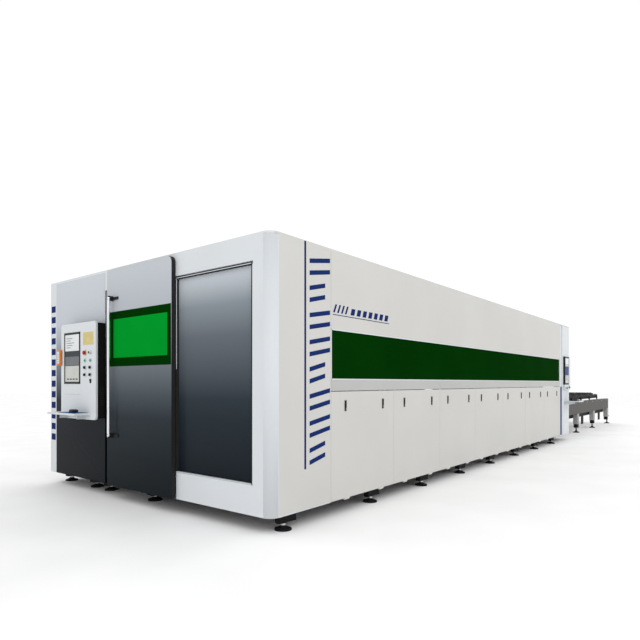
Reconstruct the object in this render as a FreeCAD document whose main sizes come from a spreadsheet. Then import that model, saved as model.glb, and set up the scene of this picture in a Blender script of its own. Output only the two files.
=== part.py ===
"""Fibre laser sheet cutting machine with a full enclosure and a two-level exchange table.

The row frame has +Z up, +X along the length towards the exchange table, and the operator's long
side at -Y. Its origin is the centre of the footprint at floor level. In the helpers below, x is
counted from the enclosure's front plane and y from the near long side's skin.
"""
import FreeCAD, Part
import os
import re

import Sketcher

from FreeCAD import Placement, Rotation, Vector

SIZES = {
    # overall
    "enclosure_length": 9170, "enclosure_width": 3690, "enclosure_top": 2400, "skin_bottom": 136,
    "front_shelf_reach": 300, "rear_shelf_reach": 300,
    # sheet metal
    "sheet": 3, "fold": 25, "panel_gap": 3, "corner_radius": 90, "corner_width": 200,
    # floor feet
    "pad_radius": 72, "pad_height": 14, "stem_radius": 16, "foot_inset": 80, "bracket_height": 62,
    "bracket_size": 120, "side_bracket_length": 200, "side_bracket_width": 60,
    "side_bracket_inset": 22, "corner_foot_gap": 26, "front_foot_one": 245,
    "front_foot_two": 550, "table_leg_one": 1730, "table_leg_two": 3510,
    # welded bed
    "bed_beam_width": 260, "bed_beam_inset": 60, "bed_beam_top": 980, "bed_wall": 12,
    "bed_tube": 120, "bed_start": 95, "bed_rear_inset": 70,
    # enclosure frame
    "post_size": 60, "post_inset": 25.3,
    # side panels, doors and windows
    "doors_start": 771, "pillar_length": 547, "sill_bottom": 1126, "window_bottom": 1230,
    "window_top": 1685, "window_thickness": 8, "latch_inset": 205, "latch_width": 28,
    "latch_height": 100, "latch_drop": 83, "latch_thickness": 10, "knuckle_radius": 7,
    "knuckle_length": 80,
    "channel_width": 148, "channel_gap": 53, "channel_recess": 14, "pillar_depth": 58,
    "pillar_return": 300,
    # front
    "recess_near": 200, "recess_far": 1200, "recess_bottom": 384, "header_height": 220,
    "recess_depth": 30, "leaf_near": 1205, "leaf_far": 2307, "leaf_bottom": 142, "leaf_drop": 30,
    "leaf_thickness": 45, "leaf_clearance": 5, "leaf_radius": 65, "leaf_window_bottom": 1370,
    "leaf_window_top": 1930, "leaf_window_margin": 14, "hanger_near": 120, "hanger_far": 200,
    "left_panel_near": 2435,
    "far_strip": 162, "track_height": 40,
    "track_thickness": 12, "hanger_plate": 6, "hanger_width": 80, "roller_radius": 12,
    "slot_height": 12,
    # door handle
    "handle_y": 2172, "handle_bottom": 640, "handle_drop": 280, "handle_width": 34,
    "handle_depth": 26, "handle_standoff": 62, "handle_arm": 40,
    # operator console
    "console_near": 2400, "console_far": 3150, "console_bottom": 812, "console_top": 1852,
    "console_depth": 100, "console_rim": 15, "fascia_thickness": 25, "fascia_radius": 40,
    "screen_near": 2716,
    "screen_far": 3070, "screen_bottom": 1191, "screen_top": 1755, "screen_proud": 4,
    "button_radius": 15, "button_proud": 12, "button_tail": 8, "well_depth": 18,
    "well_clearance": 0.4, "stop_radius": 22, "stop_cap": 14, "stop_proud": 26,
    "button_near": 2500, "button_far": 2610, "row_one": 1523, "row_two": 1441,
    "row_three": 1366, "row_four": 1289, "shelf_near": 2510, "shelf_far": 3100,
    "shelf_z": 862, "shelf_thickness": 22,
    # rear console
    "rear_console_length": 445, "rear_console_inset": 25, "rear_console_bottom": 1060,
    "rear_console_top": 1760, "rear_console_proud": 35, "rear_button_inset": 150,
    "rear_button_z": 1110, "rear_shelf_z": 808, "rear_shelf_start": 60, "rear_shelf_end": 30,
    # motion system
    "rail_end_gap": 40, "rail_width": 35, "rail_height": 32, "rail_y": 190,
    "rack_width": 30, "rack_height": 25, "rack_y": 240, "running_gap": 0.3, "gantry_parking": 600, "gantry_width": 320,
    "gantry_height": 260, "gantry_inset": 92, "saddle_length": 520, "saddle_height": 28,
    "saddle_width": 197, "block_height": 30, "block_length": 110, "beam_rail": 25,
    "carriage_width": 340, "carriage_height": 380, "carriage_depth": 40,
    "head_width": 110, "head_height": 520, "nozzle_tip": 1000, "nozzle_length": 90,
    "motor_size": 110, "pinion_radius": 45, "pinion_shaft": 10,
    # pallets
    "pallet_length": 6100, "pallet_inset": 378, "pallet_rail_width": 90,
    "pallet_rail_height": 100, "pallet_rail_lift": 35, "slat_seat": 45, "slat_thickness": 5,
    "slat_pitch": 150, "slat_tooth": 75, "tooth_height": 22, "slat_rise": 155,
    "pallet_tuck": 1220, "lower_start": 1150, "upper_track_top": 740, "lower_track_top": 482,
    "wheel_radius": 45, "wheel_width": 22, "wheel_axle": 8, "wheel_gap": 3, "wheel_inset": 150,
    "pallet_wall": 6, "track_height_pallet": 26, "track_start": 900, "track_joint": 50,
    "track_end": 150,
    # exchange table
    "table_gap": 30, "table_length": 5450, "table_beam_inset": 200, "table_beam_width": 100,
    "table_beam_bottom": 456, "table_beam_top": 740, "table_wall": 8, "table_leg_width": 160,
    "table_leg_height": 250, "end_foot_reach": 110, "cross_height": 70, "cross_width": 80,
    "shaft_radius": 20,
    "sprocket_radius": 60, "sprocket_width": 14, "sprocket_inset": 40, "shaft_inset": 230,
    "end_foot_offset": 78, "shaft_z": 610, "table_motor_length": 120, "table_motor_width": 180,
    "table_motor_radius": 55, "table_motor_reach": 220, "table_motor_gap": 4,
}

PALLET_WHEELS = 7
DOOR_COUNT = 7

# sizes and places that follow from the ones above
DERIVED = {
    "door_pitch": "(enclosure_length - doors_start - channel_gap - channel_width"
                  f" - pillar_length) / {DOOR_COUNT}",
    "doors_end": f"doors_start + {DOOR_COUNT} * door_pitch",
    "bed_end": "enclosure_length - bed_rear_inset",
    "recess_top": "enclosure_top - header_height",
    "leaf_top": "enclosure_top - leaf_drop",
    "handle_top": "leaf_top - handle_drop",
    "left_panel_far": "enclosure_width - far_strip",
    "rear_console_end": "enclosure_length - rear_console_inset",
    "rear_console_start": "rear_console_end - rear_console_length",
    "rear_button_x": "enclosure_length - rear_button_inset",
    "upper_start": "enclosure_length - pallet_tuck",
    "gantry_x": "upper_start - gantry_parking",
    "carriage_y": "enclosure_width / 2",
    "table_start": "enclosure_length + table_gap",
    "table_end": "table_start + table_length",
    "shaft_x": "table_end - shaft_inset",
    "total_length": "front_shelf_reach + table_end + end_foot_offset + pad_radius",
    "front_plane": "front_shelf_reach - total_length / 2",
    "near_skin": "(rear_shelf_reach - enclosure_width) / 2",
}
# each side foot stands this share of the way along its bay
FOOT_SHARE = 0.69
SIDE_FEET = ["corner_width + corner_foot_gap"] + [
    f"doors_start + ({step} + {FOOT_SHARE}) * door_pitch" for step in range(DOOR_COUNT)]
FRONT_FEET = ("enclosure_width / 2", "left_panel_near + front_foot_one",
              "left_panel_near + front_foot_two")
TABLE_LEGS = ("table_start + table_leg_one", "table_start + table_leg_two")
TABLE_FEET = (*TABLE_LEGS, "table_end + end_foot_offset")
AXLE_X = Rotation(Vector(0, 1, 0), 90)
AXLE_Y = Rotation(Vector(1, 0, 0), -90)
UPRIGHT = Rotation()

doc = FreeCAD.newDocument("LaserCuttingMachine")
sheet = doc.addObject("Spreadsheet::Sheet", "Dims")
for row, (alias, value) in enumerate(SIZES.items(), start=1):
    sheet.set(f"A{row}", alias)
    sheet.set(f"B{row}", str(value))
    sheet.setAlias(f"B{row}", alias)
doc.recompute()

nodes = []


def formula(text):
    """Write a size given in plain names as an expression that reads the sheet."""
    def read(word):
        name = word.group(0)
        return f"({formula(DERIVED[name])})" if name in DERIVED else f"Dims.{name}"
    return re.sub(r"[a-z][a-z_0-9]*", read, str(text))


def value_of(text):
    """The number, in mm, that a size given in plain names has now."""
    return float(sheet.evalExpression(formula(text)))


def put(piece, x, y, z, turn=UPRIGHT):
    """Place a piece by its corner or centre, counted from the front plane and the near skin."""
    piece.Placement = Placement(Vector(), turn)
    piece.setExpression("Placement.Base.x", formula(f"front_plane + ({x})"))
    piece.setExpression("Placement.Base.y", formula(f"near_skin + ({y})"))
    piece.setExpression("Placement.Base.z", formula(z))
    return piece


def box(x, y, z, length, width, height):
    piece = doc.addObject("Part::Box", "Block")
    piece.setExpression("Length", formula(length))
    piece.setExpression("Width", formula(width))
    piece.setExpression("Height", formula(height))
    return put(piece, x, y, z)


def rod(x, y, z, radius, length, turn=UPRIGHT):
    piece = doc.addObject("Part::Cylinder", "Rod")
    piece.setExpression("Radius", formula(radius))
    piece.setExpression("Height", formula(length))
    return put(piece, x, y, z, turn)


def cone(x, y, z, low, high, length, turn=UPRIGHT):
    piece = doc.addObject("Part::Cone", "Taper")
    piece.setExpression("Radius1", formula(low))
    piece.setExpression("Radius2", formula(high))
    piece.setExpression("Height", formula(length))
    return put(piece, x, y, z, turn)


def cut(base, tool):
    piece = doc.addObject("Part::Cut", "Opened")
    piece.Base = base
    piece.Tool = tool
    return piece


def fuse(*pieces):
    piece = doc.addObject("Part::MultiFuse", "Joined")
    piece.Shapes = list(pieces)
    return piece


def node(label, *pieces):
    """One exported node: its solids stay separate inside a compound."""
    piece = doc.addObject("Part::Compound", "Node")
    piece.Links = list(pieces)
    piece.Label = label
    nodes.append(piece)
    return piece


def tube_x(x, y, z, length, width, height, wall):
    """A rectangular tube that lies along X, open at its ends."""
    inner = box(f"({x}) - 1", f"({y}) + {wall}", f"({z}) + {wall}", f"({length}) + 2",
                f"({width}) - 2 * {wall}", f"({height}) - 2 * {wall}")
    return cut(box(x, y, z, length, width, height), inner)


def tube_y(x, y, z, length, width, height, wall):
    """A rectangular tube that lies along Y, open at its ends."""
    inner = box(f"({x}) + {wall}", f"({y}) - 1", f"({z}) + {wall}", f"({length}) - 2 * {wall}",
                f"({width}) + 2", f"({height}) - 2 * {wall}")
    return cut(box(x, y, z, length, width, height), inner)


def pan(x, y, z, length, width, height, back):
    """A folded sheet panel, hollow behind its face. back is the side its edges fold towards."""
    reach = {"+x": (1, 0), "-x": (-1, 0), "+y": (0, 1), "-y": (0, -1), "-z": (0, 0)}[back]
    wall_x = "sheet" if back[1] != "x" else "0"
    wall_y = "sheet" if back[1] != "y" else "0"
    wall_z = "sheet" if back[1] != "z" else "0"
    drop = "sheet" if back == "-z" else "0"
    inner = box(f"({x}) + {wall_x} + {reach[0]} * sheet", f"({y}) + {wall_y} + {reach[1]} * sheet",
                f"({z}) + {wall_z} - {drop}", f"({length}) - 2 * {wall_x}",
                f"({width}) - 2 * {wall_y}", f"({height}) - 2 * {wall_z}")
    return cut(box(x, y, z, length, width, height), inner)


def far(y, width):
    """The same strip on the far side: its low edge, mirrored about the centre line."""
    return f"enclosure_width - ({y}) - ({width})"


def both_sides(y, width):
    """Low edges of the same strip on the near side and on the far side."""
    return y, far(y, width)


def sketch_on(body, plane):
    sketch = body.newObject("Sketcher::SketchObject", "Outline")
    origin = next(f for f in body.Origin.OriginFeatures if f.Role == plane)
    sketch.AttachmentSupport = (origin, [""])
    sketch.MapMode = "FlatFace"
    return sketch


def rectangle(sketch, low_u, low_v, high_u, high_v):
    """A rectangle in a sketch, its four sides held at sizes read from the sheet."""
    first = sketch.GeometryCount
    sides = (low_u, low_v, high_u, high_v)
    u0, v0, u1, v1 = (value_of(side) for side in sides)
    corners = [Vector(u0, v0), Vector(u1, v0), Vector(u1, v1), Vector(u0, v1)]
    for step in range(4):
        sketch.addGeometry(Part.LineSegment(corners[step], corners[(step + 1) % 4]))
    for step in range(4):
        sketch.addConstraint(Sketcher.Constraint(
            "Coincident", first + step, 2, first + (step + 1) % 4, 1))
        sketch.addConstraint(Sketcher.Constraint(("Horizontal", "Vertical")[step % 2],
                                                 first + step))
    held = ((0, 1, "DistanceX", low_u), (0, 1, "DistanceY", low_v),
            (2, 1, "DistanceX", high_u), (2, 1, "DistanceY", high_v))
    for side, point, kind, size in held:
        index = sketch.addConstraint(Sketcher.Constraint(
            kind, -1, 1, first + side, point, value_of(size)))
        sketch.setExpression(f"Constraints[{index}]", formula(size))


def pad(body, sketch, length, kind="PartDesign::Pad", reverse=False):
    feature = body.newObject(kind, "Thickness")
    feature.Profile = sketch
    feature.setExpression("Length", formula(length))
    feature.Reversed = reverse
    return feature


def round_edges(body, feature, radius, chosen):
    """Fillet the edges of a feature that the test picks, with one radius from the sheet."""
    doc.recompute()
    names = [f"Edge{i}" for i, edge in enumerate(feature.Shape.Edges, start=1) if chosen(edge)]
    fillet = body.newObject("PartDesign::Fillet", "Rounding")
    fillet.Base = (feature, names)
    fillet.setExpression("Radius", formula(radius))
    return fillet


def along(edge, axis):
    """True for an edge that runs along a unit axis."""
    ends = edge.Vertexes
    if len(ends) < 2:
        return False
    run = ends[1].Point - ends[0].Point
    return run.Length > 1 and abs(abs(run.dot(axis)) - run.Length) < 1e-4 * run.Length


# ---- floor feet -------------------------------------------------------------------------------

def levelling_foot(x, y, top):
    """A round pad with a raised hub and a threaded stem up to the frame."""
    hub = "stem_radius * 2"
    return fuse(rod(x, y, "0", "pad_radius", "pad_height"),
                cone(x, y, "pad_height", "pad_radius * 0.8", hub, "pad_height"),
                rod(x, y, "pad_height", "stem_radius", f"{top} - pad_height"))


def floor_feet():
    seat = "skin_bottom + bed_wall - bracket_height"
    spots = [(x, side) for x in SIDE_FEET for side in ("foot_inset", far("foot_inset", "0"))]
    spots += [("bed_start + bed_tube", y) for y in FRONT_FEET]
    feet = [levelling_foot(x, y, seat) for x, y in spots]
    table_side = "table_beam_inset + table_beam_width / 2"
    feet += [levelling_foot(x, side, "table_beam_bottom - table_leg_height")
             for x in TABLE_FEET for side in (table_side, far(table_side, "0"))]
    node("foot_pads", *feet)
    brackets = [box(f"({x}) - bracket_size / 2", f"({y}) - side_bracket_inset", seat,
                    "side_bracket_length", "side_bracket_width", "bracket_height")
                for x, y in spots[:len(SIDE_FEET) * 2]]
    brackets += [box(f"({x}) - bracket_size / 2", f"({y}) - bracket_size / 2", seat,
                     "bracket_size", "bracket_size", "bracket_height")
                 for x, y in spots[len(SIDE_FEET) * 2:]]
    node("foot_brackets", *brackets)


# ---- welded bed and enclosure frame -----------------------------------------------------------

BED_BOTTOM = "skin_bottom + bed_wall"
BED_HEIGHT = "bed_beam_top - bed_tube - skin_bottom - bed_wall"
BED_LENGTH = "bed_end - bed_start"
INNER_SIDE = "bed_beam_inset + bed_beam_width"


def bed_frame():
    """Two long side boxes on a ladder of cross tubes, with legs and a rail beam above."""
    pieces = []
    for side in both_sides("bed_beam_inset", "bed_beam_width"):
        pieces.append(tube_x("bed_start", side, BED_BOTTOM, BED_LENGTH, "bed_beam_width",
                             "bed_tube * 2", "bed_wall"))
        pieces.append(tube_x("bed_start", side, "bed_beam_top - bed_tube", BED_LENGTH,
                             "bed_beam_width", "bed_tube", "bed_wall"))
        for step in range(DOOR_COUNT + 1):
            start = f"doors_start + {step} * door_pitch - bed_tube / 2"
            pieces.append(box(start, side, f"{BED_BOTTOM} + bed_tube * 2", "bed_tube",
                              "bed_beam_width", f"{BED_HEIGHT} - bed_tube * 2"))
    for step in range(DOOR_COUNT + 1):
        start = f"doors_start + {step} * door_pitch - bed_tube / 2"
        pieces.append(tube_y(start, INNER_SIDE, BED_BOTTOM, "bed_tube",
                             f"enclosure_width - 2 * ({INNER_SIDE})", "bed_tube", "bed_wall"))
    for start in ("bed_start", "bed_end - bed_tube"):
        pieces.append(tube_y(start, INNER_SIDE, BED_BOTTOM, "bed_tube",
                             f"enclosure_width - 2 * ({INNER_SIDE})", "bed_tube", "bed_wall"))
    node("bed_frame", *pieces)


ROOF_UNDERSIDE = "enclosure_top - fold"


def enclosure_frame():
    """Square posts on the bed's sides, tied by rails under the roof."""
    pieces = []
    height = f"{ROOF_UNDERSIDE} - post_size - bed_beam_top"
    tie = "post_inset + post_size"
    low = "bed_beam_inset - post_inset"
    for foot, side in zip(both_sides("post_inset", low), both_sides("post_inset", "post_size")):
        for step in range(DOOR_COUNT + 1):
            start = f"doors_start + {step} * door_pitch - post_size / 2"
            pieces.append(box(start, foot, BED_BOTTOM, "post_size", low,
                              f"bed_beam_top - ({BED_BOTTOM})"))
            pieces.append(box(start, side, "bed_beam_top", "post_size", "post_size", height))
        pieces.append(box("corner_width", side, f"{ROOF_UNDERSIDE} - post_size",
                          "doors_end + channel_gap - corner_width",
                          "post_size", "post_size"))
    for step in range(DOOR_COUNT + 1):
        start = f"doors_start + {step} * door_pitch - post_size / 2"
        pieces.append(box(start, tie, f"{ROOF_UNDERSIDE} - post_size", "post_size",
                          f"enclosure_width - 2 * ({tie})", "post_size"))
    node("enclosure_frame", *pieces)


# ---- enclosure skin ---------------------------------------------------------------------------

SKIN_HEIGHT = "enclosure_top - fold - skin_bottom"


def corner_columns():
    """Front corner columns with a rounded outer edge, and square rear pillars with a channel."""
    columns = []
    for name, low, rounded in (("Near", "0", -1), ("Far", "left_panel_far", 1)):
        body = doc.addObject("PartDesign::Body", f"{name}Column")
        outline = sketch_on(body, "XY_Plane")
        width = "corner_width" if name == "Near" else "enclosure_width - left_panel_far"
        rectangle(outline, "0", "0", "corner_radius", width)
        solid = pad(body, outline, SKIN_HEIGHT)
        edge_y = 0 if rounded < 0 else value_of(width)
        round_edges(body, solid, "corner_radius - sheet", lambda edge: along(edge, Vector(0, 0, 1))
                    and abs(edge.Vertexes[0].X) < 1 and abs(edge.Vertexes[0].Y - edge_y) < 1)
        columns.append(put(body, "0", low, "skin_bottom"))
    pillar = "doors_end + channel_gap + channel_width"
    width = f"enclosure_length - ({pillar})"
    for side in both_sides("0", "pillar_depth"):
        columns.append(box(pillar, side, "skin_bottom", width, "pillar_depth", SKIN_HEIGHT))
    for side in both_sides("pillar_depth", "pillar_return - pillar_depth"):
        columns.append(box("bed_end + 1", side, "skin_bottom", "enclosure_length - bed_end - 1",
                           "pillar_return - pillar_depth", SKIN_HEIGHT))
    columns.append(box(f"{pillar} - channel_width", "channel_recess", "skin_bottom",
                       "channel_width", "pillar_depth - channel_recess", SKIN_HEIGHT))
    node("corner_columns", *columns)


def front_panels():
    """The header over the doorway and recess, and the sill below the recess."""
    span = "left_panel_near - corner_width - panel_gap"
    header = pan("0", "corner_width", "recess_top + panel_gap", "fold", span,
                 "enclosure_top - fold - recess_top - panel_gap", "+x")
    low = pan("0", "corner_width", "skin_bottom", "fold", "recess_far - recess_near",
              "recess_bottom - skin_bottom - panel_gap", "+x")
    node("front_panels", header, low)
    node("front_left_panel", pan("0", "left_panel_near", "skin_bottom", "fold",
                                 "left_panel_far - left_panel_near", SKIN_HEIGHT, "+x"))
    node("recess_panel", pan("recess_depth", "recess_near", "recess_bottom - panel_gap", "fold",
                             "recess_far - recess_near",
                             "recess_top - slot_height - recess_bottom + panel_gap", "+x"))


def near_side_panels():
    """The end panel, the fascia above the windows and the sill rail below them."""
    pieces = [pan("corner_radius", "0", "skin_bottom", "doors_start - corner_radius - panel_gap",
                  "fold", SKIN_HEIGHT, "+y")]
    for first, last in ((0, 2), (2, 4), (4, 7)):
        pieces.append(pan(f"doors_start + {first} * door_pitch", "0", "window_top",
                          f"{last - first} * door_pitch", "fold",
                          "enclosure_top - fold - window_top", "+y"))
    pieces.append(pan("doors_end", "0", "skin_bottom", "channel_gap", "fold",
                      SKIN_HEIGHT, "+y"))
    for first, last in ((0, 2), (2, 4), (4, 5), (5, 7)):
        pieces.append(pan(f"doors_start + {first} * door_pitch + 1", "0",
                          "sill_bottom + panel_gap", f"{last - first} * door_pitch - 2", "fold",
                          "window_bottom - sill_bottom - panel_gap", "+y"))
    node("near_side_panels", *pieces)
    panes = [box(f"doors_start + {first} * door_pitch", "fold - 15", "window_bottom",
                 f"{last - first} * door_pitch", "window_thickness",
                 "window_top - window_bottom") for first, last in ((0, 2), (2, 4), (4, 7))]
    node("near_window", *panes)


def far_side_panels():
    """Plain panels down the far side, one to each bay, with the same end bays."""
    side = far("0", "fold")
    pieces = [pan("corner_radius", side, "skin_bottom", "doors_start - corner_radius - panel_gap",
                  "fold", SKIN_HEIGHT, "-y")]
    for step in range(DOOR_COUNT):
        pieces.append(pan(f"doors_start + {step} * door_pitch", side, "skin_bottom",
                          "door_pitch - panel_gap", "fold", SKIN_HEIGHT, "-y"))
    pieces.append(pan("doors_end", side, "skin_bottom",
                      "channel_gap + channel_width", "fold", SKIN_HEIGHT, "-y"))
    node("far_side_panels", *pieces)


def roof_and_rear():
    """Roof pans across the full width, and the rear header above the pallet opening."""
    step = "enclosure_length / 6"
    panels = [pan(f"{i} * {step}", "0", ROOF_UNDERSIDE, f"{step} - panel_gap * {int(i < 5)}",
                  "enclosure_width", "fold", "-z") for i in range(6)]
    node("roof_panels", *panels)
    opening_top = "window_bottom"
    node("rear_header", pan("enclosure_length - fold", "pillar_return", opening_top, "fold",
                            "enclosure_width - 2 * pillar_return",
                            f"{ROOF_UNDERSIDE} - {opening_top}", "-x"))


# ---- access doors -----------------------------------------------------------------------------

def access_doors():
    """Seven drop-down service doors, each hinged on two knuckles and held by two latches."""
    for step in range(DOOR_COUNT):
        start = f"doors_start + {step} * door_pitch"
        width = "door_pitch - panel_gap"
        cover = pan(start, "0", "skin_bottom + panel_gap", width, "fold",
                    "sill_bottom - skin_bottom - panel_gap * 2", "+y")
        places = ("latch_inset", f"{width} - latch_inset - knuckle_length")
        knuckles = [rod(f"{start} + {at}", "knuckle_radius", "skin_bottom - knuckle_radius",
                        "knuckle_radius", "knuckle_length", AXLE_X) for at in places]
        leaves = [box(f"{start} + {at}", "0", "skin_bottom - knuckle_radius", "knuckle_length",
                      "sheet * 2", "knuckle_radius + panel_gap") for at in places]
        node(f"access_door_{step + 1}", cover,
             *[fuse(knuckle, leaf) for knuckle, leaf in zip(knuckles, leaves)])
        paddles = []
        for at in ("latch_inset", f"{width} - latch_inset - latch_width"):
            paddles.append(box(f"{start} + {at}", "-latch_thickness",
                               "sill_bottom - latch_drop - latch_height", "latch_width",
                               "latch_thickness - 0.3", "latch_height"))
        node(f"access_latch_{step + 1}", *paddles)


# ---- sliding operator door --------------------------------------------------------------------

def sliding_door():
    """A folded leaf with a rounded top corner and a laser-safe window, hung on a top track."""
    body = doc.addObject("PartDesign::Body", "Leaf")
    face = sketch_on(body, "YZ_Plane")
    rectangle(face, "0", "0", "leaf_far - leaf_near", "leaf_top - leaf_bottom")
    slab = pad(body, face, "leaf_thickness")
    rounded = round_edges(body, slab, "leaf_radius", lambda edge: along(edge, Vector(1, 0, 0))
                          and edge.Vertexes[0].Y < 1 and edge.Vertexes[0].Z > 1000)
    window = sketch_on(body, "YZ_Plane")
    rectangle(window, "leaf_window_margin", "leaf_window_bottom - leaf_bottom",
              "leaf_far - leaf_near - leaf_window_margin * 3", "leaf_window_top - leaf_bottom")
    opened = pad(body, window, "leaf_thickness", "PartDesign::Pocket", True)
    doc.recompute()
    if opened.Shape.Volume > rounded.Shape.Volume - 1:
        raise RuntimeError("the door window was not cut")
    leaf = put(body, "-leaf_clearance - leaf_thickness", "leaf_near", "leaf_bottom")
    hangers = [hanger(at) for at in ("leaf_near + hanger_near", "leaf_far - hanger_far")]
    node("door_leaf", leaf, *hangers)
    node("door_window", box("-leaf_clearance - leaf_thickness", "leaf_near + leaf_window_margin",
                            "leaf_window_bottom", "window_thickness",
                            "leaf_far - leaf_near - leaf_window_margin * 4",
                            "leaf_window_top - leaf_window_bottom"))
    front = "-leaf_clearance - leaf_thickness"
    bar = box(f"{front} - handle_standoff", "handle_y", "handle_bottom", "handle_depth",
              "handle_width", "handle_top - handle_bottom")
    arms = [box(f"{front} - handle_standoff + handle_depth", "handle_y", z,
                "handle_standoff - handle_depth", "handle_width", "handle_arm")
            for z in ("handle_bottom", "handle_top - handle_arm")]
    node("door_handle", bar, *arms)
    node("door_track", box(TRACK_X, "corner_width", "recess_top + running_gap",
                           "track_thickness", "left_panel_near - corner_width", "track_height"))


TRACK_X = "recess_depth + 12"


def hanger(y):
    """An arm from the back of the leaf that reaches under the header and hooks over the track."""
    arm = box("-leaf_clearance", y, "recess_top - hanger_plate",
              f"{TRACK_X} + track_thickness + 2 + hanger_plate + leaf_clearance", "hanger_width",
              "hanger_plate")
    hook = box(f"{TRACK_X} + track_thickness + 2", y, "recess_top - hanger_plate", "hanger_plate",
               "hanger_width", "track_height + roller_radius * 2 + hanger_plate")
    roller = rod(TRACK_X, f"{y} + hanger_width / 2",
                 "recess_top + track_height + 2 * running_gap + roller_radius", "roller_radius",
                 "track_thickness + 2 + hanger_plate", AXLE_X)
    return fuse(arm, hook, roller)


# ---- operator consoles ------------------------------------------------------------------------

FASCIA = "-console_depth - fascia_thickness"
CONTROL_PLACES = (("button_near", "row_one"), ("button_far", "row_two"),
                  ("button_near", "row_two"), ("button_far", "row_three"),
                  ("button_near", "row_three"), ("button_far", "row_four"),
                  ("button_near", "row_four"))
CONTROL_NAMES = ("key_switch", "start_button", "reset_button", "selector_1", "selector_2",
                 "selector_3", "selector_4")
# how far a turning control's grip stands out, how thick it is and how tall
GRIPS = {"key_switch": (16, 6, 24), "selector": (12, 8, 28)}


def front_console():
    """A wall box with a rounded fascia, screen, controls and keyboard shelf."""
    width = "console_far - console_near"
    height = "console_top - console_bottom"
    node("console_housing", box("-console_depth", "console_near + console_rim",
                                "console_bottom + console_rim", "console_depth",
                                f"{width} - 2 * console_rim", f"{height} - 2 * console_rim"))
    body = doc.addObject("PartDesign::Body", "Fascia")
    face = sketch_on(body, "YZ_Plane")
    rectangle(face, "0", "0", width, height)
    plate = pad(body, face, "fascia_thickness")
    round_edges(body, plate, "fascia_radius", lambda edge: along(edge, Vector(1, 0, 0)))
    solid = put(body, FASCIA, "console_near", "console_bottom")
    wells = [well_x(f"{FASCIA}", side, row, "button_radius") for side, row in CONTROL_PLACES]
    wells.append(well_x(f"{FASCIA}", "button_far", "row_one", "stop_radius / 2"))
    node("console_fascia", cut(solid, fuse(*wells)))
    node("console_screen", box(f"{FASCIA} - screen_proud", "screen_near", "screen_bottom",
                               "screen_proud", "screen_far - screen_near",
                               "screen_top - screen_bottom"))
    node("keyboard_shelf", box("-front_shelf_reach", "shelf_near", "shelf_z",
                               "front_shelf_reach - console_depth - fascia_thickness",
                               "shelf_far - shelf_near", "shelf_thickness"))
    cap = f"{FASCIA} - stop_proud"
    node("emergency_stop", fuse(
        rod(cap, "button_far", "row_one", "stop_radius", "stop_cap", AXLE_X),
        rod(f"{cap} + stop_cap", "button_far", "row_one", "stop_radius / 2",
            "stop_proud - stop_cap + button_tail", AXLE_X)))
    for (side, row), label in zip(CONTROL_PLACES, CONTROL_NAMES):
        grip = GRIPS.get(label.rstrip("_1234"))
        barrel = rod(f"{FASCIA} - button_proud", side, row, "button_radius",
                     "button_proud + button_tail", AXLE_X)
        if not grip:
            node(label, barrel)
            continue
        reach, thick, tall = grip
        blade = box(f"{FASCIA} - button_proud - {reach}", f"{side} - {thick} / 2",
                    f"{row} - {tall} / 2", reach, thick, tall)
        node(label, fuse(barrel, blade))


def well_x(face_x, y, z, radius):
    """The bore that a control slides or turns in, cut into a panel that faces -X."""
    return rod(f"{face_x} - 1", y, z, f"{radius} + well_clearance", "well_depth + 1", AXLE_X)


def rear_console():
    """A second panel on the rear pillar, with a mushroom button and a keyboard shelf."""
    front = "-rear_console_proud"
    panel = box("rear_console_start", front, "rear_console_bottom",
                "rear_console_end - rear_console_start", "rear_console_proud",
                "rear_console_top - rear_console_bottom")
    well = rod("rear_button_x", f"{front} - 1", "rear_button_z", "stop_radius / 2 + well_clearance",
               "well_depth + 1", AXLE_Y)
    node("rear_console", cut(panel, well))
    cap = f"{front} - stop_proud"
    node("rear_button", fuse(
        rod("rear_button_x", cap, "rear_button_z", "stop_radius", "stop_cap", AXLE_Y),
        rod("rear_button_x", f"{cap} + stop_cap", "rear_button_z", "stop_radius / 2",
            "stop_proud - stop_cap + button_tail", AXLE_Y)))
    start = "rear_console_start + rear_shelf_start"
    node("rear_shelf", box(start, "-rear_shelf_reach", "rear_shelf_z",
                           f"rear_console_end - rear_shelf_end - ({start})", "rear_shelf_reach",
                           "shelf_thickness"))


# ---- motion system ----------------------------------------------------------------------------

BLOCK_Z = "bed_beam_top + rail_height + running_gap"
SADDLE_Z = f"{BLOCK_Z} + block_height"
BEAM_Z = f"{SADDLE_Z} + saddle_height"


def guide_rails():
    start = "bed_start + rail_end_gap"
    length = f"{BED_LENGTH} - 2 * rail_end_gap"
    rails = [box(start, side, "bed_beam_top", length, "rail_width", "rail_height")
             for side in both_sides("rail_y - rail_width / 2", "rail_width")]
    node("x_guide_rails", *rails)
    racks = [box(start, side, "bed_beam_top", length, "rack_width", "rack_height")
             for side in both_sides("rack_y - rack_width / 2", "rack_width")]
    node("x_racks", *racks)


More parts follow.
